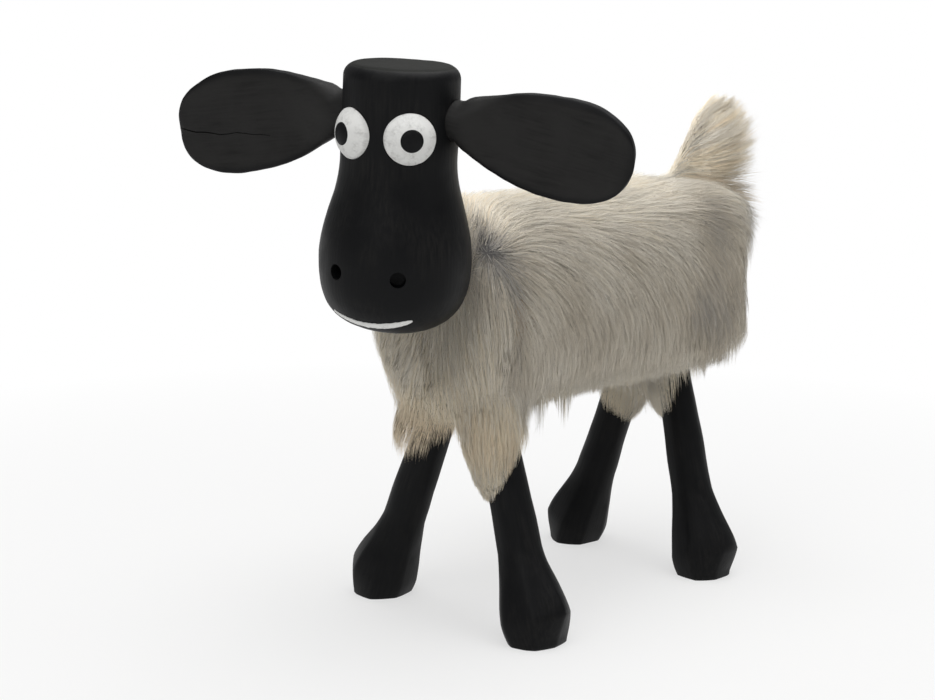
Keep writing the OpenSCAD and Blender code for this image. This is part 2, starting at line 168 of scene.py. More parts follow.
class EarSizes(bpy.types.PropertyGroup):
    length: size("Length", "Length of an ear from its seat", 0.131)
    half: size("Half height", "Half height of an ear at its widest", 0.034)
    root: size("Root radius", "Radius of an ear's shank", 0.0135)
    wide_at: size("Widest place", "Distance of the widest place from the seat", 0.081)
    flare: number("Flare", "Sharpness of the flare from the root", 1.2)
    power: number("Tip squareness", "Squareness of the tip", 2.4)
    thick: size("Thickness", "Thickness of an ear's blade", 0.012)
    shank: size("Shank", "Length of the plain round shank", 0.007)
    taper: size("Taper", "Distance from the seat to the full blade", 0.046)
    dish: size("Dish", "Depth of the hollow in an ear's face", 0.0022)
    dowel_r: size("Dowel bore", "Radius of the bore for an ear dowel", 0.00405)
    dowel_depth: size("Dowel bore depth", "Depth of that bore in the ear", 0.0261)


class LegSizes(bpy.types.PropertyGroup):
    rake: size("Rake", "Distance that a sole stands ahead of its hip", 0.0135)
    seat: size("Seat", "Depth of a leg's seat in the log", 0.003)
    top_r: size("Top radius", "Radius of a leg at its top", 0.0128)
    ankle_r: size("Ankle radius", "Radius of a leg at its ankle", 0.0161)
    ankle_h: size("Ankle height", "Height of the ankle along the leg", 0.066)
    hoof_r: size("Hoof radius", "Largest radius of a hoof", 0.0253)
    hoof_h: size("Hoof height", "Height of that radius along the leg", 0.017)
    sole_r: size("Sole radius", "Radius of a hoof's end", 0.0195)
    splay: share("Splay", "Share of its radius by which a hoof flares outwards", 0.17)
    carve: share("Carving", "Share of the radius that the knife marks take", 0.035)


class CoatLook(bpy.types.PropertyGroup):
    half_w: size("Half width", "Half width of the hide round the trunk", 0.060)
    half_h: size("Half height", "Half height of the hide round the trunk", 0.069)
    rise: size("Rise", "Height of the hide's middle over the log's axis", 0.003)
    end_round: size("End rounding", "Rounding of the hide's ends", 0.019)
    chest_out: size("Chest", "Distance of the hide's front from the log's end", 0.014)
    rump_out: size("Rump", "Distance of the hide's rear from the log's end", 0.0085)
    hide_t: size("Hide thickness", "Thickness of the bare hide", 0.0018)
    strand_r: size("Hair radius", "Radius of a strand at its root", 0.000177)
    per_area: IntProperty(name="Hairs", description="Strands on a square centimetre", default=63, min=1)
    lock: size("Lock", "Distance between the locks that strands gather in", 0.0018)
    tuft: size("Tuft", "Distance between the tufts that locks lean to", 0.010)
    grey: colour("Grey", "Colour of the greyest hair", (0.11, 0.107, 0.104))
    dun: colour("Dun", "Colour of greyish hair", (0.46, 0.435, 0.40))
    ash: colour("Ash", "Colour of plain hair on the flanks", (0.685, 0.61, 0.49))
    ivory: colour("Ivory", "Colour of the palest hair", (0.90, 0.845, 0.74))
    cream: colour("Cream", "Colour of warm hair underneath", (0.89, 0.785, 0.59))
    peach: colour("Peach", "Colour of the warm hair on the tail", (0.91, 0.76, 0.56))


class PaintLook(bpy.types.PropertyGroup):
    black: colour("Black", "Black paint", (0.0030, 0.0032, 0.0038))
    worn: colour("Worn black", "Black paint where it is thin", (0.0105, 0.0102, 0.0100))
    # Painted sheen: the ears' black is lighter and greyish-brown, standing in for the sheen on them
    ear: colour("Ear black", "Black paint on the ears", (0.0190, 0.0185, 0.0180))
    crown: colour("Crown", "Dull paint on the flat crown", (0.0086, 0.0090, 0.0077))
    white: colour("White", "White paint of eyes and mouth", (0.80, 0.80, 0.78))
    chipped: colour("Chipped white", "White paint where it is thin", (0.47, 0.465, 0.45))
    wood: colour("Wood", "Bare wood", (0.56, 0.39, 0.22))
    wood_dark: colour("Wood grain", "Late wood in the grain", (0.36, 0.225, 0.11))
    steel: colour("Steel", "Steel of the tacks", (0.55, 0.55, 0.56))


class StageLook(bpy.types.PropertyGroup):
    camera_at: FloatVectorProperty(
        name="Camera", description="Place of the camera", default=(0.90914, -1.06287, 0.470), size=3,
        subtype="XYZ", unit="LENGTH",
    )
    yaw: turn("Yaw", "Turn of the view from straight ahead", 43.11)
    pitch: turn("Pitch", "Height of the camera over the horizon", 11.3)
    roll: turn("Roll", "Roll of the camera", 1.0)
    lens: number("Lens", "Focal length", 74.31, unit="CAMERA")
    top: watts("Top light", "Power of the overhead lamp", 27.0)
    key: watts("Key light", "Power of the front lamp", 8.0)
    fill: watts("Fill light", "Power of the side lamps", 1.8)
    sky: share("Sky", "Light from all round", 0.31)
    floor: colour("Floor", "Colour of the floor", (0.74, 0.74, 0.735))


LOOKS = {
    "animal_head": HeadSizes,
    "animal_ear": EarSizes,
    "animal_leg": LegSizes,
    "animal_coat": CoatLook,
    "animal_paint": PaintLook,
    "animal_stage": StageLook,
}


# Meshes and pieces

def between(low, high, t):
    return low + (high - low) * t


def turned(outline, steps, closed=False):
    """A bmesh of an outline of radius and height, spun round Z, and joined end to start if closed."""
    bm = bmesh.new()
    points = [bm.verts.new((r, 0, z)) for r, z in outline]
    pairs = list(zip(points, points[1:]))
    if closed:
        pairs.append((points[-1], points[0]))
    edges = [bm.edges.new(pair) for pair in pairs]
    bmesh.ops.spin(
        bm, geom=points + edges, cent=(0, 0, 0), axis=UP, angle=2 * math.pi, steps=steps, use_merge=True
    )
    bmesh.ops.remove_doubles(bm, verts=bm.verts, dist=1e-6)
    bmesh.ops.recalc_face_normals(bm, faces=bm.faces)
    return bm


def sliced(bm, height, **options):
    """Cuts a bmesh with a level plane and returns the edges of the cut."""
    geometry = bm.verts[:] + bm.edges[:] + bm.faces[:]
    cut = bmesh.ops.bisect_plane(bm, geom=geometry, plane_co=(0, 0, height), plane_no=UP, **options)
    return [part for part in cut["geom_cut"] if isinstance(part, bmesh.types.BMEdge)]


def moved(bm, rule):
    """Puts a bmesh's vertices where a rule moves their places."""
    for vert, place in zip(bm.verts, rule(np.array([vert.co for vert in bm.verts]))):
        vert.co = place


def carved(bm, depth, grain, seed):
    """Moves a bmesh's surface in and out as a knife leaves it."""
    bm.normal_update()
    shift = Vector((seed * 3.7, seed * 1.9, seed * 5.3))
    moves = [vert.normal * (depth * noise.noise(vert.co / grain + shift)) for vert in bm.verts]
    for vert, move in zip(bm.verts, moves):
        vert.co += move


def linked(name, data):
    """A new object of the scene."""
    made = bpy.data.objects.new(name, data)
    bpy.context.scene.collection.objects.link(made)
    return made


def mesh_of(name, bm, matrix):
    """A mesh that holds a bmesh in its place. The bmesh is used up."""
    bmesh.ops.transform(bm, matrix=matrix, verts=bm.verts)
    mesh = bpy.data.meshes.new(name)
    bm.to_mesh(mesh)
    bm.free()
    return mesh


def piece_of(name, bm, matrix=Matrix()):
    """A new object at the origin that holds a bmesh in its place."""
    return linked(name, mesh_of(name, bm, matrix))


def coated(piece, material):
    """Gives a piece this material and no other."""
    piece.data.materials.clear()
    piece.data.materials.append(material)


def finished(piece, body, slot, material, *nodes, sharp=180):
    """Gives a piece its finish and shading and the body that it rides on, and hides the nodes that it stands for.
    """
    coated(piece, material)
    piece.data.shade_smooth()
    if sharp < 180:
        piece.data.set_sharp_from_angle(angle=math.radians(sharp))
    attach(piece, body)
    if nodes:
        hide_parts(*nodes)


def cut_by(piece, cutters):
    """Cuts a list of bmeshes out of a piece, each with its matrix."""
    tool = bmesh.new()
    for bm, matrix in cutters:
        mesh = mesh_of("cutter", bm, matrix)
        tool.from_mesh(mesh)
        bpy.data.meshes.remove(mesh)
    cutter = piece_of("cutter", tool)
    modifier = piece.modifiers.new("cut", "BOOLEAN")
    modifier.object = cutter
    modifier.operation = "DIFFERENCE"
    modifier.solver = "EXACT"
    graph = bpy.context.evaluated_depsgraph_get()
    mesh = bpy.data.meshes.new_from_object(piece.evaluated_get(graph))
    piece.modifiers.clear()
    old = piece.data
    piece.data = mesh
    mesh.name = piece.name
    bpy.data.meshes.remove(old)
    bpy.data.objects.remove(cutter)


def rod_outline(radius, low, high):
    return [(0, low), (radius, low), (radius, high), (0, high)]


def stepped_outline(bore_r, bore_low, pocket_r, pocket_low, high):
    """A pocket with a narrower bore below its floor."""
    return [
        (0, bore_low), (bore_r, bore_low), (bore_r, pocket_low),
        (pocket_r, pocket_low), (pocket_r, high), (0, high),
    ]


# Shader helpers

def new_group(name, values, results):
    """An empty shader node group from places and values to values: its tree, input and output."""
    tree = bpy.data.node_groups.new(name, "ShaderNodeTree")
    tree.interface.new_socket("Vector", in_out="INPUT", socket_type="NodeSocketVector")
    for socket, default in values.items():
        made = tree.interface.new_socket(socket, in_out="INPUT", socket_type="NodeSocketFloat")
        made.default_value = default
    for socket in results:
        tree.interface.new_socket(socket, in_out="OUTPUT", socket_type="NodeSocketFloat")
    return tree, tree.nodes.new("NodeGroupInput"), tree.nodes.new("NodeGroupOutput")


def feed(tree, node, sockets):
    """Links or sets these sockets of a node."""
    for name, value in sockets.items():
        if isinstance(value, bpy.types.NodeSocket):
            tree.links.new(value, node.inputs[name])
        else:
            node.inputs[name].default_value = value


def add(tree, kind, sockets=None, **settings):
    """A new node with its settings, and links or values for its sockets."""
    node = tree.nodes.new(kind)
    for name, value in settings.items():
        setattr(node, name, value)
    feed(tree, node, sockets or {})
    return node


def ranged(tree, value, low, high, to_low=0.0, to_high=1.0):
    return add(
        tree, "ShaderNodeMapRange",
        {"Value": value, "From Min": low, "From Max": high, "To Min": to_low, "To Max": to_high},
    ).outputs["Result"]


def mixed(tree, factor, first, second):
    """A colour between two, which may each be a socket or a colour."""
    ends = [end if isinstance(end, bpy.types.NodeSocket) else (*end, 1) for end in (first, second)]
    return add(tree, "ShaderNodeMix", {0: factor, 6: ends[0], 7: ends[1]}, data_type="RGBA").outputs[2]


def math_node(tree, operation, first, second):
    return add(tree, "ShaderNodeMath", {0: first, 1: second}, operation=operation).outputs[0]


def noisy(tree, places, scale, detail):
    return add(tree, "ShaderNodeTexNoise", {"Vector": places, "Scale": scale, "Detail": detail}).outputs[0]


def drawn_out(tree, places, share_of_z):
    """Places with less of their Z, so that a pattern on them is drawn out along it."""
    sockets = {0: places, 1: (1, 1, share_of_z)}
    return add(tree, "ShaderNodeVectorMath", sockets, operation="MULTIPLY").outputs[0]


def seen_by(tree, first, *others):
    """1 for these kinds of ray, and 0 for the rest."""
    rays = add(tree, "ShaderNodeLightPath").outputs
    seen = rays[first]
    for other in others:
        seen = math_node(tree, "MAXIMUM", seen, rays[other])
    return seen


def brush_group():
    """Brush and knife marks that run along Z: a fine streak, a broad patch and a height."""
    values = {"Streaks": 520.0, "Patches": 34.0}
    tree, source, result = new_group("Brush marks", values, ("Streak", "Patch", "Height"))
    places = source.outputs["Vector"]
    streak = noisy(tree, drawn_out(tree, places, 0.07), source.outputs["Streaks"], 3.0)
    patch = noisy(tree, places, source.outputs["Patches"], 4.0)
    feed(tree, result, {
        "Streak": ranged(tree, streak, 0.35, 0.7),
        "Patch": ranged(tree, patch, 0.42, 0.68),
        "Height": math_node(tree, "ADD", streak, math_node(tree, "MULTIPLY", patch, 1.6)),
    })
    return tree


def grain_group():
    """Growth rings of a log along Z: a mask of the late wood and a height."""
    tree, source, result = new_group("Wood grain", {"Rings": 190.0}, ("Late wood", "Height"))
    drawn = drawn_out(tree, source.outputs["Vector"], 0.12)
    rings = add(
        tree, "ShaderNodeTexWave",
        {"Vector": drawn, "Scale": source.outputs["Rings"], "Distortion": 3.5, "Detail": 3.0,
         "Detail Scale": 1.5},
        wave_type="RINGS", rings_direction="Z",
    ).outputs["Fac"]
    pores = noisy(tree, drawn, 900.0, 2.0)
    feed(tree, result, {
        "Late wood": math_node(tree, "MULTIPLY", rings, ranged(tree, pores, 0.3, 0.65, 0.35, 1.0)),
        "Height": math_node(tree, "ADD", rings, pores),
    })
    return tree


GROUP_MAKERS = {"Brush marks": brush_group, "Wood grain": grain_group}


def placed_group(tree, name, matrix, **values):
    """A shared group, fed with Object coordinates in a piece's own frame, and those coordinates."""
    coordinates = add(tree, "ShaderNodeTexCoord").outputs["Object"]
    local = add(
        tree, "ShaderNodeMapping",
        {"Vector": coordinates, "Location": matrix.translation, "Rotation": matrix.to_euler()},
        vector_type="TEXTURE",
    ).outputs[0]
    shared = bpy.data.node_groups.get(name) or GROUP_MAKERS[name]()
    return add(tree, "ShaderNodeGroup", {"Vector": local, **values}, node_tree=shared), local


def new_material(name, **values):
    """A material with one Principled shader, whose plain sockets are set here."""
    material = bpy.data.materials.new(name)
    material.use_nodes = True
    shader = material.node_tree.nodes["Principled BSDF"]
    for socket, value in values.items():
        shader.inputs[socket.replace("_", " ")].default_value = value
    return material, material.node_tree, shader


def bumped(tree, shader, height, strength, distance):
    bump = add(tree, "ShaderNodeBump", {"Height": height, "Strength": strength, "Distance": distance})
    feed(tree, shader, {"Normal": bump.outputs["Normal"]})


def black_paint(name, matrix, base, crown_from=None, rim=False):
    """Hand-brushed black paint whose strokes run along a piece's own Z axis, darkened on a rim with painted shade.
    """
    paint = bpy.context.scene.animal_paint
    material, tree, shader = new_material(name, Specular_IOR_Level=0.13)
    marks, local = placed_group(tree, "Brush marks", matrix)
    thin = math_node(tree, "MULTIPLY", marks.outputs["Streak"], marks.outputs["Patch"])
    shade = mixed(tree, thin, base, paint.worn)
    rough = ranged(tree, marks.outputs["Patch"], 0.0, 1.0, 0.46, 0.60)
    # Painted shade: towards a rim the colour darkens to the plain black, standing in for the shade on a rounded
    # edge
    if rim:
        edge = add(tree, "ShaderNodeAttribute", attribute_name="rim").outputs["Fac"]
        shade = mixed(tree, edge, shade, paint.black)
    if crown_from is not None:
        height = add(tree, "ShaderNodeSeparateXYZ", {0: local}).outputs["Z"]
        top = ranged(tree, height, crown_from, crown_from + 0.0012)
        shade = mixed(tree, top, shade, paint.crown)
        rough = math_node(tree, "MAXIMUM", rough, math_node(tree, "MULTIPLY", top, 0.68))
    feed(tree, shader, {"Base Color": shade, "Roughness": rough})
    bumped(tree, shader, marks.outputs["Height"], 0.35, 0.0004)
    return material


def white_paint(name, matrix):
    """Thick white paint with brush marks and thin grey places."""
    paint = bpy.context.scene.animal_paint
    material, tree, shader = new_material(name, Specular_IOR_Level=0.35, Roughness=0.5)
    marks, _ = placed_group(tree, "Brush marks", matrix, Streaks=700.0, Patches=150.0)
    thin = math_node(tree, "MULTIPLY", marks.outputs["Streak"], marks.outputs["Patch"])
    shade = mixed(tree, math_node(tree, "MULTIPLY", thin, 0.75), paint.white, paint.chipped)
    feed(tree, shader, {"Base Color": shade})
    bumped(tree, shader, marks.outputs["Height"], 0.5, 0.0005)
    return material


def bare_wood(name, matrix):
    """Raw turned wood, with its rings round a piece's own Z axis."""
    paint = bpy.context.scene.animal_paint
    material, tree, shader = new_material(name, Specular_IOR_Level=0.3, Roughness=0.68)
    grain, _ = placed_group(tree, "Wood grain", matrix)
    shade = mixed(tree, grain.outputs["Late wood"], paint.wood, paint.wood_dark)
    feed(tree, shader, {"Base Color": shade})
    bumped(tree, shader, grain.outputs["Height"], 0.25, 0.0003)
    return material


def tack_steel():
    """Worn blue-grey steel of the tacks."""
    paint = bpy.context.scene.animal_paint
    material, tree, shader = new_material("Tack steel", Metallic=1.0)
    marks, _ = placed_group(tree, "Brush marks", Matrix(), Streaks=900.0, Patches=260.0)
    dark = [part * 0.55 for part in paint.steel]
    shade = mixed(tree, marks.outputs["Patch"], paint.steel, dark)
    rough = ranged(tree, marks.outputs["Streak"], 0, 1, 0.28, 0.5)
    feed(tree, shader, {"Base Color": shade, "Roughness": rough})
    return material


def hair_finish():
    """Hair whose tone and place along the strand come from its own map."""
    coat = bpy.context.scene.animal_coat
    material, tree, shader = new_material("Coat hair", Roughness=0.62, Specular_IOR_Level=0.3)
    place = add(tree, "ShaderNodeUVMap", uv_map="OFBake").outputs["UV"]
    parts = add(tree, "ShaderNodeSeparateXYZ", {0: place})
    ramp = add(tree, "ShaderNodeValToRGB", {"Fac": parts.outputs["X"]})
    stops = [
        (0.0, coat.grey), (0.25, coat.dun), (0.5, coat.ash),
        (0.7, coat.ivory), (0.85, coat.cream), (1.0, coat.peach),
    ]
    while len(ramp.color_ramp.elements) < len(stops):
        ramp.color_ramp.elements.new(0.5)
    for element, (at, shade) in zip(ramp.color_ramp.elements, stops):
        element.position = at
        element.color = (*shade, 1)
    root = ranged(tree, parts.outputs["Y"], 0.0, 0.35, 0.25, 0.0)
    feed(tree, shader, {"Base Color": mixed(tree, root, ramp.outputs["Color"], coat.dun)})
    return material


def hide_finish():
    """Under-fur and hide between the strands."""
    coat = bpy.context.scene.animal_coat
    material, tree, shader = new_material("Under fur", Roughness=0.85, Specular_IOR_Level=0.2)
    marks, local = placed_group(tree, "Brush marks", Matrix(), Streaks=900.0, Patches=120.0)
    pale = [0.55 * part for part in coat.cream]
    dark = [0.7 * part for part in coat.dun]
    shade = mixed(tree, marks.outputs["Streak"], dark, pale)
    for whorl in WHORLS:
        away = add(tree, "ShaderNodeVectorMath", {0: local, 1: whorl}, operation="DISTANCE")
        near = ranged(tree, away.outputs["Value"], 0.010, 0.024, 1, 0)
        shade = mixed(tree, near, shade, coat.grey)
    feed(tree, shader, {"Base Color": shade})
    bumped(tree, shader, marks.outputs["Height"], 0.5, 0.0006)
    return material


# Head

# Depth of a nostril's drilled point, how much it widens towards the face, and depth of an ear dowel's bore
NOSTRIL_POINT = 0.0018
NOSTRIL_WIDEN = 1.04
EAR_BORE = 0.0241
# Depth of the crown's edge, above which its dull paint starts
CROWN_EDGE = 0.0022
# Height and width of the bevel round an eye button, and how far a pupil plug stands out of it
EYE_EDGE = 0.0008
EYE_BEVEL = 0.0004
PUPIL_PROUD = 0.0009
# Height of the mouth's paint, how far its edges sink into the muzzle, and thickness of its skin
MOUTH_PROUD = 0.0010
MOUTH_SINK = 0.0004
MOUTH_SKIN = 0.0006


def head_outline(head, fine=1):
    """Radius and height of the bottle-shaped head, from the muzzle's bottom to the crown."""
    depth = head.muzzle_drop - head.muzzle_wide
    bend = 2 / head.muzzle_power
    points = []
    for i in range(22 * fine + 1):
        a = math.pi / 2 * i / (22 * fine)
        low = depth * math.cos(a) ** bend
        points.append((head.muzzle_r * math.sin(a) ** bend, -head.muzzle_wide - low))
    for i in range(1, 20 * fine + 1):
        t = i / (20 * fine)
        narrow = (1 + math.cos(math.pi * t)) / 2
        points.append((between(head.crown_r, head.muzzle_r, narrow), head.brow_h * t - head.muzzle_wide))
    straight = head.crown_h - head.crown_round - points[-1][1]
    points += [(head.crown_r, points[-1][1] + straight * t) for t in (0.25, 0.5, 0.75)]
    for i in range(10 * fine + 1):
        a = math.pi / 2 * i / (10 * fine)
        points.append((
            head.crown_r - head.crown_round * (1 - math.cos(a)),
            head.crown_h - head.crown_round * (1 - math.sin(a)),
        ))
    inner = head.crown_r - head.crown_round
    points += [(inner * t, head.crown_h) for t in (0.75, 0.5, 0.25, 0)]
    return points


def face_matrix(angle, seat, height):
    """A frame on the face: Z out of a seat, at this turn, distance from the head's axis and height."""
    swing = Matrix.Rotation(angle, 4, "Z")
    return HEAD @ swing @ Matrix.Translation((0, -seat, height)) @ Matrix.Rotation(math.pi / 2, 4, "X")


def eye_matrix(head, side):
    seat = math.sqrt(head.crown_r**2 - head.eye_r**2) - head.eye_sink
    return face_matrix(side * head.eye_turn, seat, head.eye_z)


def nostril_matrix(head, side):
    return face_matrix(side * head.nostril_turn, head.muzzle_r - head.nostril_depth, -head.nostril_drop)


class ANIMAL_OT_head(bpy.types.Operator):
    """Models the turned and carved head, with its nostrils and the seats of eyes, ears and neck"""

    bl_idname = "animal.head"
    bl_label = "Head"

    def execute(self, context):
        head = context.scene.animal_head
        ear = context.scene.animal_ear
        paint = context.scene.animal_paint
        bm = turned(head_outline(head), 112)
        carved(bm, depth=head.carve, grain=0.030, seed=1)
        carved(bm, depth=head.carve * 0.3, grain=0.007, seed=2)
        piece = piece_of("carved_head", bm, HEAD)
        pocket = stepped_outline(head.stem_r + FIT, -head.stem_len, head.eye_r + FIT, 0, head.crown_r)
        out = head.nostril_depth * 3
        drill = [(0, -NOSTRIL_POINT), (head.nostril_r, 0), (head.nostril_r * NOSTRIL_WIDEN, out), (0, out)]
        socket = stepped_outline(ear.dowel_r, -EAR_BORE, ear.root + LOOSE, 0, head.crown_r)
        cutters = []
        for name, side in SIDES.items():
            cutters.append((turned(pocket, 64), eye_matrix(head, side)))
            cutters.append((turned(drill, 40), nostril_matrix(head, side)))
            cutters.append((turned(socket, 64), ear_frame("ear_" + name)))
        bore = rod_outline(head.neck_bore_r, head.muzzle_r - head.neck_bore_depth, head.muzzle_r * 1.5)
        cutters.append((turned(bore, 48), HEAD @ Matrix.Rotation(-math.pi / 2, 4, "X")))
        cut_by(piece, cutters)
        material = black_paint("Head paint", HEAD, paint.black, head.crown_h - CROWN_EDGE)
        finished(piece, "head", "black_paint", material, "head_block", sharp=38)
        return {"FINISHED"}


def dome_height(head, q):
    """Height of an eye's dome over its seat, at a distance from its middle."""
    ball = (head.eye_r**2 + head.eye_dome**2) / (2 * head.eye_dome)
    rim = head.crown_r - math.sqrt(head.crown_r**2 - head.eye_r**2) + head.eye_sink
    return rim + head.eye_dome - ball + math.sqrt(ball**2 - q**2)


class ANIMAL_OT_eyes(bpy.types.Operator):
    """Models the white eye buttons and the black plugs that pin them to the head"""

    bl_idname = "animal.eyes"
    bl_label = "Eyes"

    def execute(self, context):
        head = context.scene.animal_head
        paint = context.scene.animal_paint
        floor = dome_height(head, 0) - head.pupil_depth
        hole_r = head.pupil_r + FIT
        for name, side in SIDES.items():
            matrix = eye_matrix(head, side)
            outline = [(head.stem_r + FIT, FIT), (head.eye_r, FIT)]
            outline.append((head.eye_r, dome_height(head, head.eye_r) - EYE_EDGE))
            for i in range(17):
                q = between(hole_r, head.eye_r - EYE_BEVEL, 1 - i / 16)
                outline.append((q, dome_height(head, q)))
            outline += [(hole_r, floor), (head.stem_r + FIT, floor)]
            bm = turned(outline, 72, closed=True)
            carved(bm, depth=0.0002, grain=0.005, seed=3 + side)
            eye = piece_of("eye_button_" + name, bm, matrix)
            material = white_paint("Eye paint " + name, matrix)
            finished(eye, "head", "eye_paint", material, "eye_" + name, sharp=50)
            plug = [(0, -head.stem_len), (head.stem_r, -head.stem_len)]
            plug += [(head.stem_r, floor + FIT), (head.pupil_r, floor + FIT)]
            for i in range(13):
                angle = math.pi / 2 * i / 12
                q = head.pupil_r * math.cos(angle)
                plug.append((q, dome_height(head, q) + PUPIL_PROUD * math.sin(angle)))
            pupil = piece_of("pupil_plug_" + name, turned(plug, 56), matrix)
            material = black_paint("Pupil paint " + name, matrix, paint.black)
            finished(pupil, "head", "black_paint", material, "pupil_" + name, sharp=50)
        return {"FINISHED"}


class ANIMAL_OT_mouth(bpy.types.Operator):
    """Models the brushed white stroke of the mouth, as a skin of paint on the muzzle"""

    bl_idname = "animal.mouth"
    bl_label = "Mouth"

    def execute(self, context):
        head = context.scene.animal_head
        radii, heights = zip(*head_outline(head, fine=3)[:-5])
        bm = bmesh.new()
        bmesh.ops.create_grid(bm, x_segments=90, y_segments=6, size=1)
        for vert in bm.verts:
            along, over = vert.co.x, vert.co.y
            rough = noise.noise(Vector((along * 14, over, 0.3)))
            ends = math.sqrt(max(0.0, 1 - abs(along) ** 7))
            half = head.mouth_w / 2 * ends * (1 + 0.28 * rough) * (1.08 + 0.2 * along)
            z = head.mouth_z + head.mouth_rise * along**2 + over * half
            angle = along * head.mouth_turn
            rise = MOUTH_PROUD * (1 - over**2) * ends - MOUTH_SINK
            r = float(np.interp(z, heights, radii)) + rise
            vert.co = (r * math.sin(angle), -r * math.cos(angle), z)
        bmesh.ops.recalc_face_normals(bm, faces=bm.faces)
        bmesh.ops.solidify(bm, geom=bm.faces[:], thickness=MOUTH_SKIN)
        piece = piece_of("painted_mouth", bm, HEAD)
        finished(piece, "head", "eye_paint", white_paint("Mouth paint", HEAD))
        return {"FINISHED"}


# Ears

def ear_edge(ear, s):
    """Half height of an ear's blade at a distance from its seat."""
    if s < ear.wide_at:
        return between(ear.root, ear.half, math.sin(math.pi / 2 * s / ear.wide_at) ** ear.flare)
    past = min(1.0, (s - ear.wide_at) / (ear.length - ear.wide_at))
    return ear.half * (1 - past**ear.power) ** (1 / ear.power)


def smooth_step(low, high, value):
    t = np.clip((value - low) / (high - low), 0, 1)
    return t * t * (3 - 2 * t)


def signed_power(value, power):
    return math.copysign(abs(value) ** power, value)


# How far each ear's blade leans off its axis, and how much wider and longer it is than drawn
EAR_CARVING = {"left": (0.017, -0.015, -0.02), "right": (0.034, 0.035, 0.015)}


class ANIMAL_OT_ears(bpy.types.Operator):
    """Models the carved paddle ears: a round shank that flattens into a dished blade"""

    bl_idname = "animal.ears"
    bl_label = "Ears"

    rings = 64
    around = 72
    # The crack: its bends, its place across the blade and slant, its width and growth, its share of the ear
    crack_bends = 12
    crack_side = -0.014
    crack_slant = 0.010
    crack_width = 0.0004
    crack_widen = 0.0006
    crack_start = 0.48
    crack_length = 0.58
    crack_depth = 0.004

    def shape(self, ear, name, seed):
        drop, grow, stretch = EAR_CARVING[name]
        bm = bmesh.new()
        bmesh.ops.create_uvsphere(bm, u_segments=self.around, v_segments=self.rings, radius=1)
        last = self.rings - 1
        rim = bm.verts.layers.float.new("rim")
        for vert in bm.verts:
            ring = round(math.acos(max(-1.0, min(1.0, vert.co.z))) / math.pi * self.rings)
            angle = math.atan2(vert.co.y, vert.co.x)
            part = max(0, min(1, (ring - 1) / (last - 1)))
            s = ear.length * math.sin(math.pi / 2 * part) ** 1.15
            blade = float(smooth_step(ear.shank, ear.taper, s))
            edge = between(ear.root, ear_edge(ear, s), float(smooth_step(ear.shank, ear.shank * 2, s)))
            tip_from = ear.length - ear.thick
            tip = math.sqrt(max(0.0, 1 - max(0.0, (s - tip_from) / ear.thick) ** 2))
            thick = between(ear.root, ear.thick / 2, blade)
            if ring in (0, self.rings):
                edge = thick = 0.0
                s = 0.0 if ring == 0 else ear.length
            x = edge * signed_power(math.cos(angle), 2 / (2 + 1.4 * blade))
            y = thick * max(tip, 0.12) * signed_power(math.sin(angle), 2 / (2 + 3.0 * blade))
            if edge > 0 and y < 0:
                y += ear.dish * blade * tip * max(0.0, 1 - (x / (0.86 * edge)) ** 2)
            # Painted shade: rim rises to 1 on the blade's edges and near its tip, where the paint is darkened as
            # shade
            vert[rim] = blade * float(max(smooth_step(0.80, 0.98, abs(x) / max(edge, 1e-6)), 1 - tip))
            lean = drop * max(0.0, s - ear.shank)
            vert.co = (x * (1 + grow * blade) - lean, y, s * (1 + stretch * blade))
        bmesh.ops.remove_doubles(bm, verts=bm.verts, dist=1e-5)
        bmesh.ops.recalc_face_normals(bm, faces=bm.faces)
        carved(bm, depth=0.0009, grain=0.026, seed=seed)
        carved(bm, depth=0.0003, grain=0.008, seed=seed + 1)
        return bm

    def crack(self, ear):
        """A thin wedge that wanders along the blade's face and is widest at the tip."""
        bm = bmesh.new()
        bmesh.ops.create_cube(bm, size=1)
        for i in range(1, self.crack_bends):
            sliced(bm, i / self.crack_bends - 0.5)
        for vert in bm.verts:
            t = vert.co.z + 0.5
            straight = self.crack_side + self.crack_slant * t
            middle = straight + 0.0010 * math.sin(8 * t) + 0.0006 * math.sin(21 * t + 1)
            wide = vert.co.x * (self.crack_width + self.crack_widen * t)
            deep = ear.dish / 2 - ear.thick / 2 + vert.co.y * (ear.dish + self.crack_depth)
            vert.co = (middle + wide, deep, ear.length * (self.crack_start + self.crack_length * t))
        return bm

    def execute(self, context):
        ear = context.scene.animal_ear
        paint = context.scene.animal_paint
        bore = rod_outline(ear.dowel_r, -ear.root, ear.dowel_depth)
        for name, side in SIDES.items():
            body = "ear_" + name
            matrix = ear_frame(body)
            piece = piece_of("carved_ear_" + name, self.shape(ear, name, 11 + 4 * side), matrix)
            cutters = [(turned(bore, 40), matrix)]
            if name == "right":
                cutters.append((self.crack(ear), matrix))
            cut_by(piece, cutters)
            # The ears take the lighter black that paints their sheen, and painted shade on their rim
            material = black_paint("Ear paint " + name, matrix, paint.ear, rim=True)
            finished(piece, body, "black_paint", material, body, sharp=42)
        return {"FINISHED"}


# Legs

# Sides that the knife leaves on a hoof, how deep they are cut, and the mean of their outline
HOOF_SIDES = 7
HOOF_CUT = 0.6
HOOF_MEAN = 0.955
# How far a hoof's outer edge is tucked in, and its flare outwards against the cut of its inner side
HOOF_TUCK = 0.32
HOOF_OUTWARD = 1.2
# How far a leg is turned below the floor before its sole is cut flat
BELOW = 0.006


def leg_frame(name):
    """A leg's own frame: Z from the middle of its sole to the log's axis, and the distance between them."""
    sole = SOLES[name]
    rake = bpy.context.scene.animal_leg.rake
    hip = Vector((LOG.x, sole.y + rake, LOG.z))
    up = (hip - sole).normalized()
    across = BACK.cross(up).normalized()
    return frame_of(across, up.cross(across), up, sole), (hip - sole).length


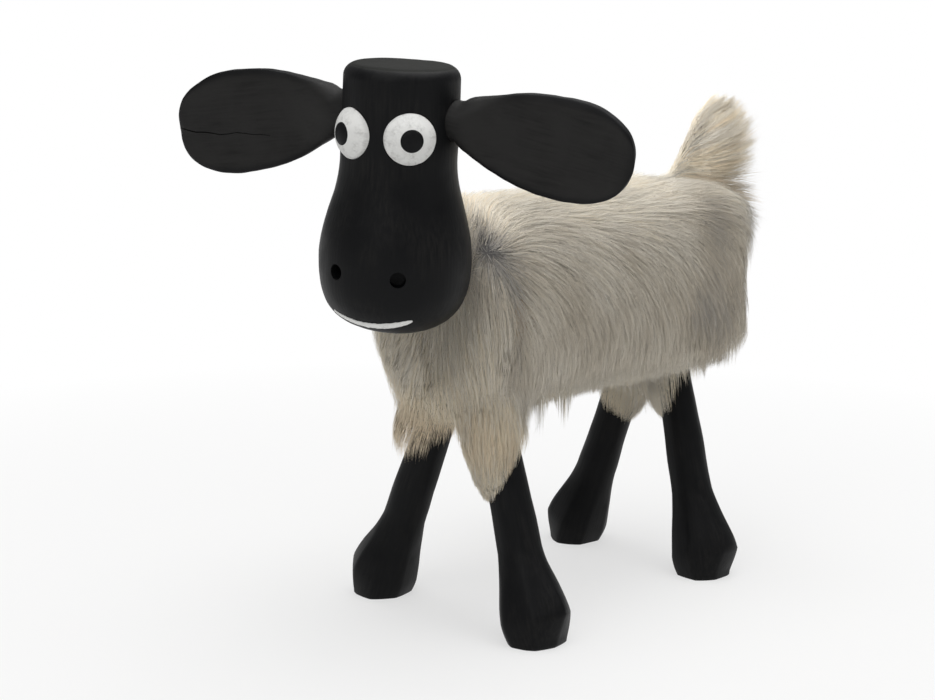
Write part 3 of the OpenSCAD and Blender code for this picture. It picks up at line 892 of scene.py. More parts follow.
class ANIMAL_OT_legs(bpy.types.Operator):
    """Models the four carved legs, each with a flared hoof cut flat where it stands"""

    bl_idname = "animal.legs"
    bl_label = "Legs"

    def outline(self, leg, length):
        top = length - (LOG_HIGH.z - LOG_LOW.z) / 2 + leg.seat
        points = [(0, -BELOW), (leg.sole_r * 0.5, -BELOW), (leg.sole_r - 0.003, -BELOW)]
        for i in range(1, 9):
            t = i / 8
            swell = math.sin(math.pi / 2 * t) ** 0.9
            points.append((between(leg.sole_r, leg.hoof_r, swell), (leg.hoof_h + BELOW) * t - BELOW))
        for i in range(1, 15):
            t = i / 14
            bend = 0.55 * t + 0.45 * (1 - math.cos(math.pi * t)) / 2
            points.append((between(leg.hoof_r, leg.ankle_r, bend), between(leg.hoof_h, leg.ankle_h, t)))
        for i in range(1, 19):
            t = i / 18
            points.append((between(leg.ankle_r, leg.top_r, t), between(leg.ankle_h, top, t)))
        return points + [(leg.top_r * 0.5, top), (0, top)]

    def whittle(self, leg, bm, index, outwards):
        """Cuts facets on a turned leg's hoof, flares it outwards and tucks its outer edge in."""
        half = math.pi / HOOF_SIDES
        for vert in bm.verts:
            angle = math.atan2(vert.co.y, vert.co.x)
            facet = math.cos(half) / math.cos((angle + 2 * index) % (2 * half) - half)
            low = float(1 - smooth_step(0.3 * leg.ankle_h, 1.1 * leg.ankle_h, vert.co.z))
            marks = leg.carve * math.cos(3 * angle + index) * 0.3
            grow = 1 + marks + HOOF_CUT * low * (facet - HOOF_MEAN)
            outer = outwards * math.cos(angle)
            tuck = HOOF_TUCK * max(0.0, outer) * min(1.0, max(0.0, 1 - vert.co.z / leg.hoof_h))
            flare = 1 + low * leg.splay * (HOOF_OUTWARD if outer > 0 else -1) * abs(outer)
            vert.co.x *= grow * flare * (1 - tuck)
            vert.co.y *= grow

    def execute(self, context):
        leg = context.scene.animal_leg
        paint = context.scene.animal_paint
        for index, name in enumerate(sorted(SOLES)):
            matrix, length = leg_frame(name)
            bm = turned(self.outline(leg, length), 72)
            self.whittle(leg, bm, index, math.copysign(1, SOLES[name].x - LOG.x))
            carved(bm, depth=0.0007, grain=0.022, seed=21 + index)
            bmesh.ops.transform(bm, matrix=matrix, verts=bm.verts)
            bmesh.ops.holes_fill(bm, edges=sliced(bm, 0, clear_inner=True))
            piece = piece_of("carved_leg_" + name, bm)
            material = black_paint("Leg paint " + name, matrix, paint.black)
            finished(piece, "trunk", "black_paint", material, "leg_" + name, sharp=45)
        return {"FINISHED"}


# Coat: the hide's surface as a distance, and the hair that grows on it

REGIONS = ("trunk", "neck", "tail", "front_left", "front_right", "rear_left", "rear_right", "flap")
# Hair length and height of the pile in metres, and how thickly hair grows, on each region
HAIR_LENGTH = 0.001 * np.array([36, 26, 57, 30, 36, 38, 44, 30])
HAIR_PILE = 0.001 * np.array([10, 9, 4, 5.5, 8, 4.5, 4.5, 2.5])
HAIR_GROWTH = np.array([1, 1.1, 2.0, 1.2, 1.2, 1.2, 1.4, 2.0])
# How far hair stands free of the hide on each region, and how its tone differs there
HAIR_STAND = (0, 0.75, 0.95, 0.35, 0.75, 0.5, 0.5, 0)
HAIR_TONE = (0, 0, 0, 0.06, 0.06, 0, 0, -0.06)
HAIR_STEPS = 9
# How far the tone differs from lock to lock where that is more than usual
LOCK_CONTRAST = {"tail": 0.13, "flap": 0.15, "neck": 0.11, "chest": 0.09}
# Width over which each limb of the hide runs into the trunk, in metres
BLENDS = (0.018, 0.014, 0.018, 0.020, 0.018, 0.018, 0.020)
# Radius of each cuff at its top and end, how far down the leg it ends, and which way its long side faces
CUFFS = {
    "front_left": (0.0205, 0.0170, 0.092, (0.5, -0.87, 0)),
    "front_right": (0.0265, 0.0235, 0.096, (-0.73, -0.68, 0)),
    "rear_left": (0.0225, 0.0190, 0.084, (-1.1, -1.0, 0)),
    "rear_right": (0.0200, 0.0165, 0.096, (0.8, -0.6, 0)),
}
# How far a limb's tube of hide runs past its end, in radii
TUBE_PAST = {"neck": 0.4, "tail": 1.0, "flap": 1.0}
# Along the tail: lean of its hair in degrees, spread to the sides and share of the full length
TAIL_LEAN = ((0.1, 0.25, 0.4, 0.55, 0.75, 1.0, 1.2), (110, 94, 72, 56, 49, 45, 26))
TAIL_SPREAD = ((0.1, 0.3, 1.0), (1.0, 0.85, 0.65))
TAIL_LENGTH = ((0.0, 0.2, 0.5, 0.7, 0.85, 1.0, 1.2), (0.7, 0.95, 0.97, 0.82, 0.70, 0.56, 0.38))
# By level, from -1 at the belly to 1 on the back: droop of the flank's hair in degrees, and tone, which is lighter
# on the back partly from paler hair there and partly as painted light from above
FLANK_DROOP = ((-1, -0.5, 0, 0.45, 0.8, 1), (84, 78, 62, 40, 18, 6))
FLANK_TONE = ((-1.3, -0.6, -0.1, 0.5, 1), (0.86, 0.62, 0.54, 0.62, 0.72))
# Places of the whorl on each shoulder and of the tufts under the left flank
WHORLS = [np.array((LOG.x + side * 0.045, LOG_LOW.y - 0.003, LOG.z + 0.055)) for side in (1, -1)]
TUFTS = [np.array((LOG.x + 0.034, LOG_LOW.y + along, LOG.z - 0.060)) for along in (0.062, 0.089)]
# Places where the tone differs, how far that reaches and by how much
TONE_SPOTS = (
    (WHORLS[0], 0.015, -0.48),
    (WHORLS[1], 0.015, -0.48),
    (WHORLS[0], 0.034, -0.10),
    ((LOG.x + 0.040, LOG_LOW.y + 0.009, LOG.z + 0.074), 0.012, -0.30),
    ((LOG.x + 0.045, LOG_HIGH.y - 0.050, LOG.z + 0.058), 0.019, -0.34),
    ((LOG.x + 0.066, LOG_HIGH.y - 0.040, LOG.z + 0.008), 0.040, -0.22),
    ((LOG.x + 0.010, LOG_HIGH.y + 0.004, LOG.z + 0.072), 0.020, 0.22),
)
# Pull of tufts and of locks on their strands, and spread of the locks, on the coat and on the tail
COMBED = (0.16, 0.42, 1)
BRUSHED = (0.30, 0.8, 1.9)
# Distance that hide keeps from the head, and that hair keeps at its root and its tip
HIDE_CLEAR = 0.0042
HAIR_CLEAR = (0.0036, 0.0014)
# Distance from the surface within which a face of the hide grows hair, and strands in one mesh at most
ON_SURFACE = 0.0008
BUNCH = 11500


def unit(vectors):
    return vectors / np.maximum(np.linalg.norm(vectors, axis=-1, keepdims=True), 1e-12)


def spot(p, place, reach):
    """How near places are to one place, from 1 there to 0 far away."""
    return np.exp(-((np.linalg.norm(p - np.array(place), axis=1) / reach) ** 2))

def rod_distance(p, rod):
    """Distance from a rod that tapers between two ends."""
    start, end, r_start, r_end = rod
    way = end - start
    t = np.clip((p - start) @ way / (way @ way), 0, 1)
    return np.linalg.norm(p - start - t[:, None] * way, axis=1) - between(r_start, r_end, t)


def coat_rods():
    """The limbs of the hide, in the order of REGIONS after the trunk."""
    neck = np.array(joint_place("head_cock"))
    neck_root = np.array((LOG.x, LOG_LOW.y + 0.030, LOG_HIGH.z - 0.022))
    back = np.array(joint_axis("head_cock"))
    peg_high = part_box("tail_peg")[1]
    tail_root = np.array((LOG.x, LOG_HIGH.y - 0.004, LOG_HIGH.z + 0.004))
    tail_tip = np.array((LOG.x, peg_high.y + 0.001, peg_high.z + 0.006))
    neck_end = neck - back * 0.015 + (0, 0, 0.004)
    rods = [(neck_root, neck_end, 0.030, 0.029), (tail_root, tail_tip, 0.014, 0.010)]
    for name, (r_top, r_low, reach, _) in CUFFS.items():
        matrix, length = leg_frame(name)
        ends = [np.array(matrix @ Vector((0, 0, s))) for s in (length - 0.045, length - reach)]
        rods.append((*ends, r_top, r_low))
    matrix, length = leg_frame("front_left")
    flap_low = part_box("hide_cuff_front_left")[0]
    hang = np.array(matrix @ Vector((0, 0, length - 0.074))) + (0.007, -0.012, 0)
    tip = np.array((hang[0] + 0.006, hang[1] - 0.002, flap_low.z + 0.021))
    rods.append((hang, tip, 0.0122, 0.0100))
    return rods


class Hide:
    """The hide's smooth surface, where hair lies on it and how long it is."""

    def __init__(self, coat):
        self.half = np.array((coat.half_w, coat.half_h))
        self.middle = LOG.z + coat.rise
        self.round = coat.end_round
        self.low = LOG_LOW.y - coat.chest_out
        self.high = LOG_HIGH.y + coat.rump_out
        self.rods = coat_rods()

    def level(self, p):
        """Height on the trunk, from -1 at the belly to 1 on the back."""
        return (p[:, 2] - self.middle) / self.half[1]

    def up_flap(self, p, low, high):
        """A value that runs from low at the flap's tip to high where it hangs."""
        hang, tip, _, _ = self.rods[6]
        return np.interp(p[:, 2], (tip[2], hang[2]), (low, high))

    def under(self, out, shares):
        """How far a place is on the belly, from the way out of the hide there."""
        return smooth_step(0.25, 0.9, -out[:, 2]) * shares[:, 0]

    def trunk(self, p):
        aside = LOG.x - 0.005 * (1 - smooth_step(LOG_LOW.y, LOG_LOW.y + 0.070, p[:, 1]))
        across = np.abs(np.stack([p[:, 0] - aside, p[:, 2] - self.middle], 1)) / self.half
        rear = smooth_step(LOG.y, LOG_HIGH.y, p[:, 1])
        front = 1 - smooth_step(LOG_LOW.y, LOG_LOW.y + 0.050, p[:, 1])
        across[:, 1] *= 1 + np.where(p[:, 2] < self.middle, 0.17 * rear, 0.12 * front)
        power = 2.3 + 2.8 * rear[:, None]
        bend = self.round * (1 - 0.55 * rear * smooth_step(0, 0.8, (self.middle - p[:, 2]) / self.half[1]))
        ring = ((across**power).sum(1) ** (1 / power[:, 0]) - 1) * self.half.min() + bend
        ends = np.abs(p[:, 1] - (self.low + self.high) / 2) - (self.high - self.low) / 2 + bend
        outside = np.hypot(np.maximum(ring, 0), np.maximum(ends, 0))
        return outside + np.minimum(np.maximum(ring, ends), 0) - bend

    def distances(self, p):
        return np.stack([self.trunk(p)] + [rod_distance(p, rod) for rod in self.rods], 1)

    def distance(self, p):
        """Distance from the whole hide, with its limbs run smoothly into the trunk."""
        parts = self.distances(p)
        near = parts[:, 0]
        for i, blend in enumerate(BLENDS, 1):
            h = np.clip(0.5 + 0.5 * (parts[:, i] - near) / blend, 0, 1)
            near = parts[:, i] + (near - parts[:, i]) * h - blend * h * (1 - h)
        return near

    def outward(self, p):
        """Direction away from the hide."""
        step = 0.0004
        corners = np.array(((1, 1, 1), (1, -1, -1), (-1, 1, -1), (-1, -1, 1)))
        return unit(sum(corner * self.distance(p + step * corner)[:, None] for corner in corners))

    def shares(self, p, tail=0.026):
        """How far each region sets the look of a place, with the tail's reach round its base."""
        near = self.distances(p)
        near[:, 2] -= tail
        near -= near.min(1, keepdims=True)
        weight = np.exp(-near / 0.004)
        return weight / weight.sum(1, keepdims=True)

    def settle(self, p):
        """Moves points onto the surface."""
        for _ in range(12):
            p = p - self.outward(p) * self.distance(p)[:, None]
        return p

    def fan(self, p):
        """The direction of the tail's hair at a place, and its share of the full length."""
        start, end, radius, _ = self.rods[1]
        way = unit(end - start)
        out = p - start
        along = out @ way / np.linalg.norm(end - start)
        out = out - (out @ way)[:, None] * way
        rear = smooth_step(-1.1, -0.2, out @ np.array(BACK) / radius)
        lean = np.radians(np.interp(along, *TAIL_LEAN))
        wide = np.interp(along, *TAIL_SPREAD)
        aside = np.tanh(2.5 * out[:, 0] / radius + 1.5)
        spread = np.stack([wide * np.where(aside < 0, 0.35, 1) * aside, np.sin(lean), np.cos(lean)], 1)
        return unit(spread), np.interp(along, *TAIL_LENGTH) * (0.7 + 0.3 * rear)

    def stand(self, p, shares):
        """How far hair stands free of the hide, from 0 to 1."""
        own = shares @ HAIR_STAND
        return own + shares[:, 0] * np.maximum(0.65 * self.nape(p), 0.6 * self.crest(p))

    def length(self, p, shares, out):
        """Length of the hair: short on the belly and on one side of each leg, fringed at the rear legs."""
        own = np.tile(HAIR_LENGTH, (len(p), 1))
        own[:, 2] *= self.fan(p)[1]
        for column, (_, radius, _, long_side) in enumerate(CUFFS.values(), 3):
            start, end, _, _ = self.rods[column - 1]
            t = (p[:, 2] - start[2]) / (end[2] - start[2])
            aside = (p - start - t[:, None] * (end - start)) @ long_side / radius
            own[:, column] *= 0.3 + 0.7 * smooth_step(-0.6, 0.6, aside)
        own[:, 7] *= self.up_flap(p, 0.25, 1.0)
        between_legs = (p[:, 0] - LOG.x + 0.010) / 0.022
        fringe = np.exp(-(between_legs**2) - ((p[:, 1] - SOLES["rear_left"].y + 0.010) / 0.022) ** 2)
        for tuft in TUFTS:
            fringe += 0.8 * spot(p, tuft, 0.006)
        fringe = np.minimum(1, fringe)
        trim = 1 - shares[:, 0] * np.interp(self.level(p), (-0.85, -0.3), (0.45, 0.0)) * (1 - fringe)
        belly = 1 - self.under(out, shares) * (0.3 - 0.95 * fringe)
        return (own * shares).sum(1) * trim * belly * (1 - 0.6 * self.nape(p))

    def pile(self, p, shares):
        """Height of the pile over the hide, which thins out down the flap."""
        return shares @ HAIR_PILE + shares[:, 7] * self.up_flap(p, 0, 0.006)

    def nape(self, p):
        """How far a place is on the nape, where hair stands up behind the head."""
        front = 1 - smooth_step(LOG_LOW.y + 0.004, LOG_LOW.y + 0.036, p[:, 1])
        return front * smooth_step(0.45, 0.8, self.level(p))

    def crest(self, p):
        """How far a place is on the top of the rump, where hair spreads from the tail."""
        rear = smooth_step(LOG_HIGH.y - 0.050, LOG_HIGH.y - 0.010, p[:, 1])
        return rear * smooth_step(0.35, 0.7, self.level(p))

    def parting(self, p):
        """Place along the trunk where the chest's hair parts from the flank's."""
        return LOG_LOW.y + 0.002 + 0.10 * np.maximum(0, LOG.z + 0.042 - p[:, 2])

    def lie(self, p, shares):
        """Direction in which hair is combed."""
        side = np.tanh((p[:, 0] - LOG.x) / 0.016)
        droop = np.interp(self.level(p), FLANK_DROOP[0], np.radians(FLANK_DROOP[1]))
        still = np.zeros_like(side)
        flank = np.stack([0.25 * side, np.cos(droop), -np.sin(droop)], 1)
        chest = np.stack([0.32 * side, still - 0.12, still - 1], 1)
        crest = self.crest(p)
        rump = np.stack([(0.30 + 0.6 * crest) * side, 0.35 + 0.25 * crest, 0.7 * crest - 0.9], 1)
        front = 1 / (1 + np.exp((p[:, 1] - self.parting(p)) / 0.0035))
        rear = smooth_step(LOG_HIGH.y - 0.040, LOG_HIGH.y + 0.004, p[:, 1])
        trunk = flank * (1 - front - rear)[:, None] + chest * front[:, None] + rump * rear[:, None]
        nape = self.nape(p)[:, None]
        trunk = trunk * (1 - nape) + np.stack([0.18 * side, still + 0.30, still + 0.9], 1) * nape
        for whorl in WHORLS:
            out = p - whorl
            away = np.linalg.norm(out, axis=1)
            pull = (np.exp(-((away / 0.024) ** 2)) * smooth_step(0.003, 0.016, away))[:, None]
            trunk = trunk * (1 - pull) + unit(out) * pull
        combed = [trunk, np.stack([0.18 * side, still + 0.26, still + 0.9], 1), self.fan(p)[0]]
        for start, end, _, _ in self.rods[2:]:
            way = unit(end - start)
            flare = p - start
            flare = unit(flare - (flare @ way)[:, None] * way)
            inner = smooth_step(-0.2, 0.6, -np.sign(way[0]) * flare[:, 0]) * (start[1] > LOG.y)
            combed.append(way + 0.22 * flare - (0.3 + inner)[:, None] * np.array(UP))
        return unit(sum(part * shares[:, i : i + 1] for i, part in enumerate(combed)))

    def tone(self, p, shares):
        """Tone of the hair, lighter on the back partly as painted light and darker along the parting as painted
        shade: 0 grey, then ash, ivory and cream, up to 1, peach.
        """
        level = self.level(p)
        past = p[:, 1] - self.parting(p)
        # The tone by level is lighter on the back partly as painted light from above, besides the paler hair there
        tone = np.interp(level, *FLANK_TONE)
        front = 1 - smooth_step(-0.004, 0.012, past)
        front *= smooth_step(-1.6, -1.0, level) * (1 - smooth_step(0.0, 0.6, level))
        tone += shares @ HAIR_TONE + 0.16 * front
        # Painted shade: the hair is darker in a line along the parting, where the coat parts
        parting_shade = 0.30 * np.exp(-((past / 0.0045) ** 2)) * shares[:, 0]
        tone -= parting_shade * smooth_step(-0.75, -0.3, level) * (1 - smooth_step(0.4, 0.8, level))
        for place, reach, shift in TONE_SPOTS:
            tone += shift * spot(p, place, reach)
        waves = np.sin(p @ (61, 83, 47)) + np.sin(p @ (-97, 58, 88) + 1.3)
        waves += np.sin(p @ (140, -121, 65) + 4.0)
        return tone + 0.028 * waves


def grown(hide, roots, rng):
    """Paths of the strands, combed along the hide or standing free, and the way out of it at each stop."""
    count = len(roots)
    shares = hide.shares(roots)
    out = hide.outward(roots)
    under = hide.under(out, shares)
    length = hide.length(roots, shares, out) * rng.uniform(0.72, 1.12, count)
    pile = hide.pile(roots, shares) * rng.uniform(0.12, 1.0, count) * (1 - 0.45 * under)
    step = (length / HAIR_STEPS)[:, None]
    stand = hide.stand(roots, shares)[:, None]
    stray = rng.normal(0, 0.06, (count, 3))
    for whorl in WHORLS:
        stray *= 1 + 6 * spot(roots, whorl, 0.010)[:, None]
    first = unit(hide.lie(roots, shares) + 1.6 * stray)
    p = roots
    way = out
    paths = [p]
    outs = [out]
    for i in range(1, HAIR_STEPS + 1):
        out = hide.outward(p)
        lie = unit(hide.lie(p, hide.shares(p)) + stray)
        flat = unit(lie - out * (lie * out).sum(1, keepdims=True))
        hold = np.maximum(np.clip((out[:, 2:] + 0.6) / 0.35, 0, 1), stand)
        hang = unit(0.5 * way + (0, 0, -0.6))
        free = first - out * np.minimum(0, (first * out).sum(1, keepdims=True))
        way = unit((flat * (1 - stand) + free * stand) * hold + hang * (1 - hold))
        p = p + way * step
        rise = np.sin(np.pi / 2 * min(1.0, 1.5 * i / HAIR_STEPS))
        lift = pile * rise - hide.distance(p)
        press = 0.6 * (hold * (1 - stand))[:, 0]
        p = p + out * np.where(lift > 0, lift, lift * press)[:, None]
        paths.append(p)
        outs.append(out)
    return np.stack(paths, 1), np.stack(outs, 1)


def gathered(paths, spacing, pull, per_area, rng):
    """Draws strands together into locks, more towards their tips, and returns each strand's lock."""
    roots = paths[:, 0]
    area = len(roots) / (per_area * 1e4)
    leaders = rng.choice(len(roots), min(len(roots), max(1, int(area / spacing**2))), replace=False)
    tree = kdtree.KDTree(len(leaders))
    for i, leader in enumerate(leaders):
        tree.insert(roots[leader], i)
    tree.balance()
    lock = np.array([tree.find(root)[1] for root in roots])
    strength = pull * rng.uniform(0.55, 1.0, len(leaders))[lock]
    along = np.linspace(0, 1, paths.shape[1]) ** 1.4
    return paths + (paths[leaders[lock]] - paths) * (strength[:, None] * along)[:, :, None], lock


def clear_of_head(places, clear):
    """Moves places back until they are clear of the head, wherever the head is cocked."""
    outline = head_outline(bpy.context.scene.animal_head)[:-4]
    radii, heights = np.array(outline).T
    into = np.array(HEAD.inverted())
    out = np.array(HEAD)
    local = places @ into[:3, :3].T + into[:3, 3]
    x, y, z = np.moveaxis(local, -1, 0)
    reach = np.zeros_like(x)
    for cock in np.linspace(*np.radians(JOINTS["head_cock"]["range_deg"]), 9):
        across = x * math.cos(cock) + z * math.sin(cock)
        height = z * math.cos(cock) - x * math.sin(cock)
        r = np.interp(height, heights, radii, left=0, right=0) + clear
        reach = np.maximum(reach, np.sqrt(np.maximum(0, r**2 - across**2)))
    local[..., 1] = np.maximum(y, reach)
    return local @ out[:3, :3].T + out[:3, 3]


def strand_template():
    """One tapering strand of three sides: its vertices, with Z from root to tip, and its faces."""
    bm = bmesh.new()
    bmesh.ops.create_cone(bm, cap_ends=True, segments=3, radius1=1, radius2=0.16, depth=1)
    bmesh.ops.translate(bm, vec=(0, 0, 0.5), verts=bm.verts)
    for height in (0.34, 0.68):
        sliced(bm, height)
    tip = [vert for vert in bm.verts if vert.co.z > 0.99]
    bmesh.ops.pointmerge(bm, verts=tip, merge_co=(0, 0, 1))
    bm.verts.index_update()
    points = np.array([vert.co for vert in bm.verts])
    faces = [[vert.index for vert in face.verts] for face in bm.faces]
    bm.free()
    return points, faces


def hair_mesh(name, paths, outs, tones, radius, lift):
    """A mesh of the strand copied along each path, with its tone and place in the map, shaded as a pile."""
    points, faces = strand_template()
    count, stops = len(paths), paths.shape[1] - 1
    at = points[:, 2] * stops
    low = np.minimum(at.astype(int), stops - 1)
    part = (at - low)[None, :, None]
    middle = paths[:, low] * (1 - part) + paths[:, low + 1] * part
    way = unit(paths[:, low + 1] - paths[:, low])
    across = unit(np.cross(way, (0.31, 0.17, 0.94)))
    third = np.cross(way, across)
    round_out = points[None, :, 0, None] * across + points[None, :, 1, None] * third
    places = middle + round_out * radius[:, None, None]
    corners = np.concatenate(faces)
    counts = np.array([len(face) for face in faces])
    starts = np.concatenate(([0], np.cumsum(np.tile(counts, count))[:-1]))
    vertices = (corners[None] + len(points) * np.arange(count)[:, None]).ravel()
    mesh = bpy.data.meshes.new(name)
    mesh.vertices.add(count * len(points))
    mesh.vertices.foreach_set("co", places.astype(np.float32).ravel())
    mesh.loops.add(len(vertices))
    mesh.loops.foreach_set("vertex_index", vertices.astype(np.int32))
    mesh.polygons.add(len(starts))
    mesh.polygons.foreach_set("loop_start", starts.astype(np.int32))
    layer = mesh.uv_layers.new(name="OFBake")
    u = np.clip(tones, 0.01, 0.99)[:, None] + 0.003 * points[corners, 0][None]
    v = np.broadcast_to(np.clip(points[corners, 2], 0.01, 0.99), u.shape)
    layer.uv.foreach_set("vector", np.stack([u, v], 2).astype(np.float32).ravel())
    mesh.update()
    mesh.validate()
    mesh.shade_smooth()
    shading = unit(unit(outs[:, low]) + 0.55 * unit(round_out) + lift * np.array(UP))
    mesh.normals_split_custom_set_from_vertices(shading.reshape(-1, 3).astype(np.float32))
    return mesh


def roots_on(bm, hide, region, per_area, rng):
    """Places of the roots, spread evenly over a piece of hide where its own region rules."""
    corners = np.array([[loop.vert.co for loop in loops] for loops in bm.calc_loop_triangles()])
    a, b, c = corners.transpose(1, 0, 2)
    middle = (a + b + c) / 3
    area = np.linalg.norm(np.cross(b - a, c - a), axis=1) / 2
    own = hide.shares(middle, 0.004)[:, REGIONS.index(region)]
    area *= own * (np.abs(hide.distance(middle)) < ON_SURFACE)
    count = int(area.sum() * per_area * 1e4)
    chosen = rng.choice(len(area), count, p=area / area.sum())
    u, v = rng.uniform(0, 1, (2, count, 1))
    over = u + v > 1
    u, v = np.where(over, 1 - u, u), np.where(over, 1 - v, v)
    return a[chosen] + (b - a)[chosen] * u + (c - a)[chosen] * v


def hide_tube(hide, start, end, radius, rings, tip=False, long_side=None):
    """A tube of hide settled on the surface, closed if it has a tip, cut slanting if it has a long side."""
    heights = [i / (rings - 1) for i in range(rings)]
    outline = [(radius * math.cos(math.pi / 2 * t**2) if tip else radius, t) for t in heights]
    if tip:
        outline[-1] = (0, 1)
    bm = turned(outline, 96)
    way = Vector(end) - Vector(start)
    up = way.normalized()
    across = up.orthogonal().normalized()
    matrix = frame_of(across, up.cross(across), up, Vector(start)) @ Matrix.Diagonal((1, 1, way.length, 1))
    bmesh.ops.transform(bm, matrix=matrix, verts=bm.verts)
    if long_side is not None:
        for vert in bm.verts:
            along = (vert.co - Vector(start)).dot(up)
            aside = (vert.co - Vector(start) - up * along).dot(Vector(long_side)) / radius
            vert.co -= up * along * 0.25 * (1 - aside)
    moved(bm, hide.settle)
    return bm


def walled(bm, hide, thick):
    """Gives a settled piece of hide its thickness, inwards."""
    made = bmesh.ops.extrude_face_region(bm, geom=bm.faces[:], use_keep_orig=True)["geom"]
    inner = [part for part in made if isinstance(part, bmesh.types.BMVert)]
    moves = hide.outward(np.array([vert.co for vert in inner])) * thick
    for vert, move in zip(inner, moves):
        vert.co -= Vector(move)
    bmesh.ops.recalc_face_normals(bm, faces=bm.faces)


class ANIMAL_OT_coat(bpy.types.Operator):
    """Models the hide of the coat and grows its hair, combed, gathered in locks and shaded"""

    bl_idname = "animal.coat"
    bl_label = "Coat"

    def hides(self, hide):
        """Each piece of hide: its name, its settled bmesh and its region."""
        front, rear = (corner.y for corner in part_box("hide_saddle"))
        middle = Vector((LOG.x, 0, LOG.z))
        made = []
        for name, start, end, rings, tip in (
            ("saddle", front, rear, 70, False),
            ("chest", front, hide.low, 24, True),
            ("rump", rear, hide.high, 24, True),
        ):
            tube = hide_tube(hide, middle + BACK * start, middle + BACK * end, hide.half[0], rings, tip)
            made.append((name, tube, "trunk"))
        for region, (start, end, _, r_end) in zip(REGIONS[1:], hide.rods):
            name = "cuff_" + region if region in CUFFS else region
            tip = region in ("tail", "flap")
            far_end = end + unit(end - start) * r_end * TUBE_PAST.get(region, 0.0)
            near_end = start - (end - start) * (0.5 if region == "flap" else 0.0)
            long_side = CUFFS[region][3] if region in CUFFS else None
            made.append((name, hide_tube(hide, near_end, far_end, r_end, 36, tip, long_side), region))
        return made

    def execute(self, context):
        coat = context.scene.animal_coat
        hide = Hide(coat)
        rng = np.random.default_rng(20)
        skin = hide_finish()
        hair = hair_finish()
        for name, bm, region in self.hides(hide):
            growth = HAIR_GROWTH[REGIONS.index(region)]
            per_area = coat.per_area * growth * 1.0
            roots = roots_on(bm, hide, region, per_area, rng)
            moved(bm, lambda places: clear_of_head(places, HIDE_CLEAR))
            walled(bm, hide, coat.hide_t)
            under = piece_of(name + "_hide", bm)
            nodes = [] if region == "flap" else ["hide_" + name]
            finished(under, "trunk", "fur", skin, *nodes)
            paths, outs = grown(hide, roots, rng)
            loose = region == "tail"
            tuft_pull, lock_pull, lock_spread = BRUSHED if loose else COMBED
            paths, _ = gathered(paths, coat.tuft, tuft_pull, per_area, rng)
            paths, lock = gathered(paths, coat.lock * lock_spread, lock_pull, per_area, rng)
            paths = clear_of_head(paths, np.linspace(*HAIR_CLEAR, paths.shape[1]))
            tones = hide.tone(paths[:, 0], hide.shares(paths[:, 0]))
            contrast = LOCK_CONTRAST.get(name, 0.05) + 0.08 * hide.nape(roots)
            tones += contrast * rng.normal(0, 1, lock.max() + 1)[lock] + rng.normal(0, 0.04, len(roots))
            radius = coat.strand_r * rng.uniform(0.7, 1.15, len(roots))
            order = np.argsort(np.arctan2(roots[:, 0] - LOG.x, roots[:, 2] - LOG.z))
            bunches = np.array_split(order, 1 + len(order) // BUNCH)
            for i, bunch in enumerate(bunches):
                title = f"{name}_fur_{i + 1}" if len(bunches) > 1 else name + "_fur"
                mesh = hair_mesh(title, paths[bunch], outs[bunch], tones[bunch], radius[bunch], 0.9 * loose)
                finished(linked(title, mesh), "trunk", "fur", hair)
        return {"FINISHED"}


class ANIMAL_OT_frame(bpy.types.Operator):
    """Finishes the bare wooden frame and the tacks inside the coat"""

    bl_idname = "animal.frame"
    bl_label = "Wooden frame and tacks"

    def execute(self, context):
        along_log = frame_of(Vector((1, 0, 0)), UP, -BACK, LOG)
        wood = bare_wood("Log wood", along_log)
        places = {name: along_log for name in ("trunk_core", "neck_block", "neck_dowel", "tail_peg")}
        for name in SOLES:
            places["leg_dowel_" + name] = leg_frame(name)[0]
        for name in SIDES:
            places["ear_dowel_" + name] = ear_frame("ear_" + name)
        for name, matrix in places.items():
            finish = wood if matrix is along_log else bare_wood("Dowel wood " + name, matrix)
            coated(frame["nodes"][name], finish)
        coated(frame["nodes"]["belly_tacks"], tack_steel())
        return {"FINISHED"}


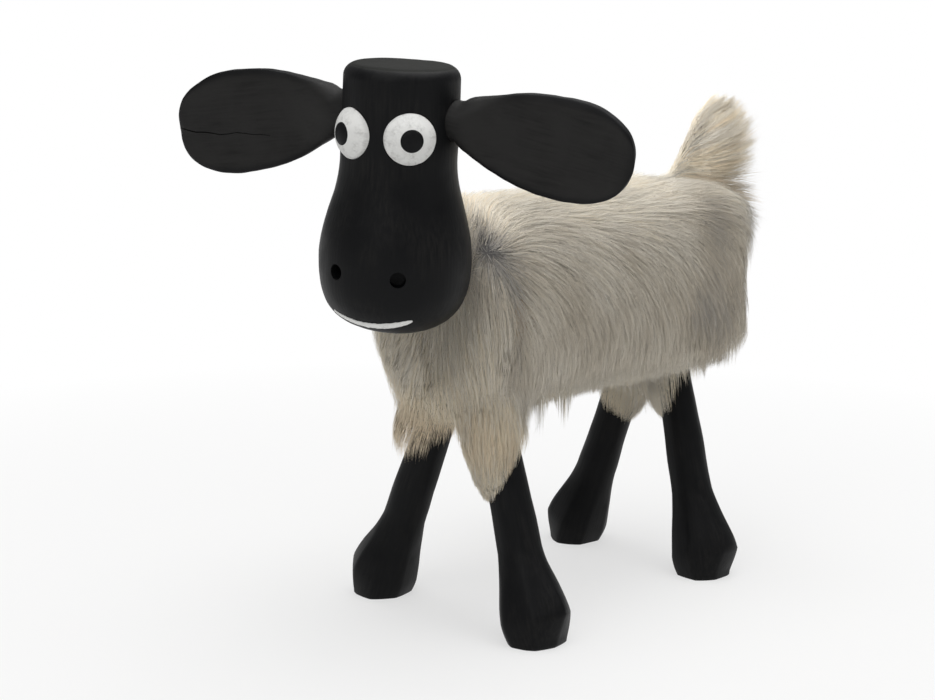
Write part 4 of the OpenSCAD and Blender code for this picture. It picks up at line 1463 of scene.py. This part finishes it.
class ANIMAL_OT_stage(bpy.types.Operator):
    """Sets up the pale floor, the soft studio light and the camera"""

    bl_idname = "animal.stage"
    bl_label = "Stage"

    aim = Vector((0, 0, 0.2))

    def floor(self, stage):
        bm = bmesh.new()
        bmesh.ops.create_grid(bm, x_segments=1, y_segments=1, size=40)
        floor = piece_of("floor", bm)
        material, tree, shader = new_material("Floor", Roughness=0.9, Specular_IOR_Level=0.1)
        feed(tree, shader, {"Base Color": (*stage.floor, 1)})
        place = add(tree, "ShaderNodeTexCoord").outputs["Object"]
        away = add(tree, "ShaderNodeVectorMath", {0: place}, operation="LENGTH").outputs["Value"]
        seen = seen_by(tree, "Is Camera Ray", "Is Glossy Ray", "Is Transmission Ray")
        glow = math_node(tree, "MULTIPLY", seen, ranged(tree, away, 0.2, 0.9, 0.6, 1.0))
        light = add(tree, "ShaderNodeEmission", {"Color": (1, 1, 1, 1), "Strength": 1.0})
        mix = add(tree, "ShaderNodeMixShader", {0: glow, 1: shader.outputs[0], 2: light.outputs[0]})
        feed(tree, tree.nodes["Material Output"], {"Surface": mix.outputs[0]})
        floor.data.materials.append(material)

    def lamp(self, name, place, power, wide):
        light = bpy.data.lights.new(name, "AREA")
        light.energy = power
        light.size = wide
        lamp = linked(name, light)
        lamp.location = place
        lamp.rotation_euler = (Vector(place) - self.aim).to_track_quat("Z", "Y").to_euler()

    def camera(self, stage):
        away = Vector((
            math.sin(stage.yaw) * math.cos(stage.pitch),
            -math.cos(stage.yaw) * math.cos(stage.pitch),
            math.sin(stage.pitch),
        ))
        level = Vector((math.cos(stage.yaw), math.sin(stage.yaw), 0))
        upright = away.cross(level)
        right = level * math.cos(stage.roll) + upright * math.sin(stage.roll)
        data = bpy.data.cameras.new("camera")
        data.lens = stage.lens
        camera = linked("camera", data)
        camera.matrix_world = frame_of(right, away.cross(right), away, Vector(stage.camera_at))
        bpy.context.scene.camera = camera

    def execute(self, context):
        stage = context.scene.animal_stage
        context.scene.view_settings.view_transform = "Standard"
        self.floor(stage)
        self.lamp("top", (0.1, 0.15, 1.7), stage.top, 1.6)
        self.lamp("key", (0.35, -1.45, 1.35), stage.key, 1.1)
        self.lamp("fill", (1.7, 0.2, 0.9), stage.fill, 1.4)
        self.lamp("back", (-0.9, 1.5, 1.3), stage.fill, 1.2)
        world = bpy.data.worlds.new("studio")
        context.scene.world = world
        world.use_nodes = True
        tree = world.node_tree
        strength = ranged(tree, seen_by(tree, "Is Camera Ray", "Is Transmission Ray"), 0, 1, stage.sky, 1.0)
        feed(tree, tree.nodes["Background"], {"Color": (1, 1, 1, 1), "Strength": strength})
        self.camera(stage)
        return {"FINISHED"}


OPERATORS = (
    ANIMAL_OT_stage, ANIMAL_OT_frame, ANIMAL_OT_head, ANIMAL_OT_eyes, ANIMAL_OT_mouth, ANIMAL_OT_ears,
    ANIMAL_OT_legs, ANIMAL_OT_coat,
)


class ANIMAL_PT_panel(bpy.types.Panel):
    """Lists the sizes, colours and pieces of the carved animal"""

    bl_idname = "ANIMAL_PT_panel"
    bl_label = "Carved Animal"
    bl_space_type = "VIEW_3D"
    bl_region_type = "UI"
    bl_category = "Carved Animal"

    def draw(self, context):
        for operator in OPERATORS:
            self.layout.operator(operator.bl_idname)
        for attribute, group in LOOKS.items():
            box = self.layout.box()
            box.label(text=group.__name__)
            for name in group.__annotations__:
                box.prop(getattr(context.scene, attribute), name)


CLASSES = (*LOOKS.values(), *OPERATORS, ANIMAL_PT_panel)


def register():
    for made in CLASSES:
        bpy.utils.register_class(made)
    for attribute, group in LOOKS.items():
        setattr(bpy.types.Scene, attribute, PointerProperty(type=group))


def unregister():
    for attribute in LOOKS:
        delattr(bpy.types.Scene, attribute)
    for made in reversed(CLASSES):
        bpy.utils.unregister_class(made)


def main():
    register()
    bpy.ops.animal.stage()
    bpy.ops.animal.frame()
    bpy.ops.animal.head()
    bpy.ops.animal.eyes()
    bpy.ops.animal.mouth()
    bpy.ops.animal.ears()
    bpy.ops.animal.legs()
    bpy.ops.animal.coat()


if __name__ == "__main__":
    main()
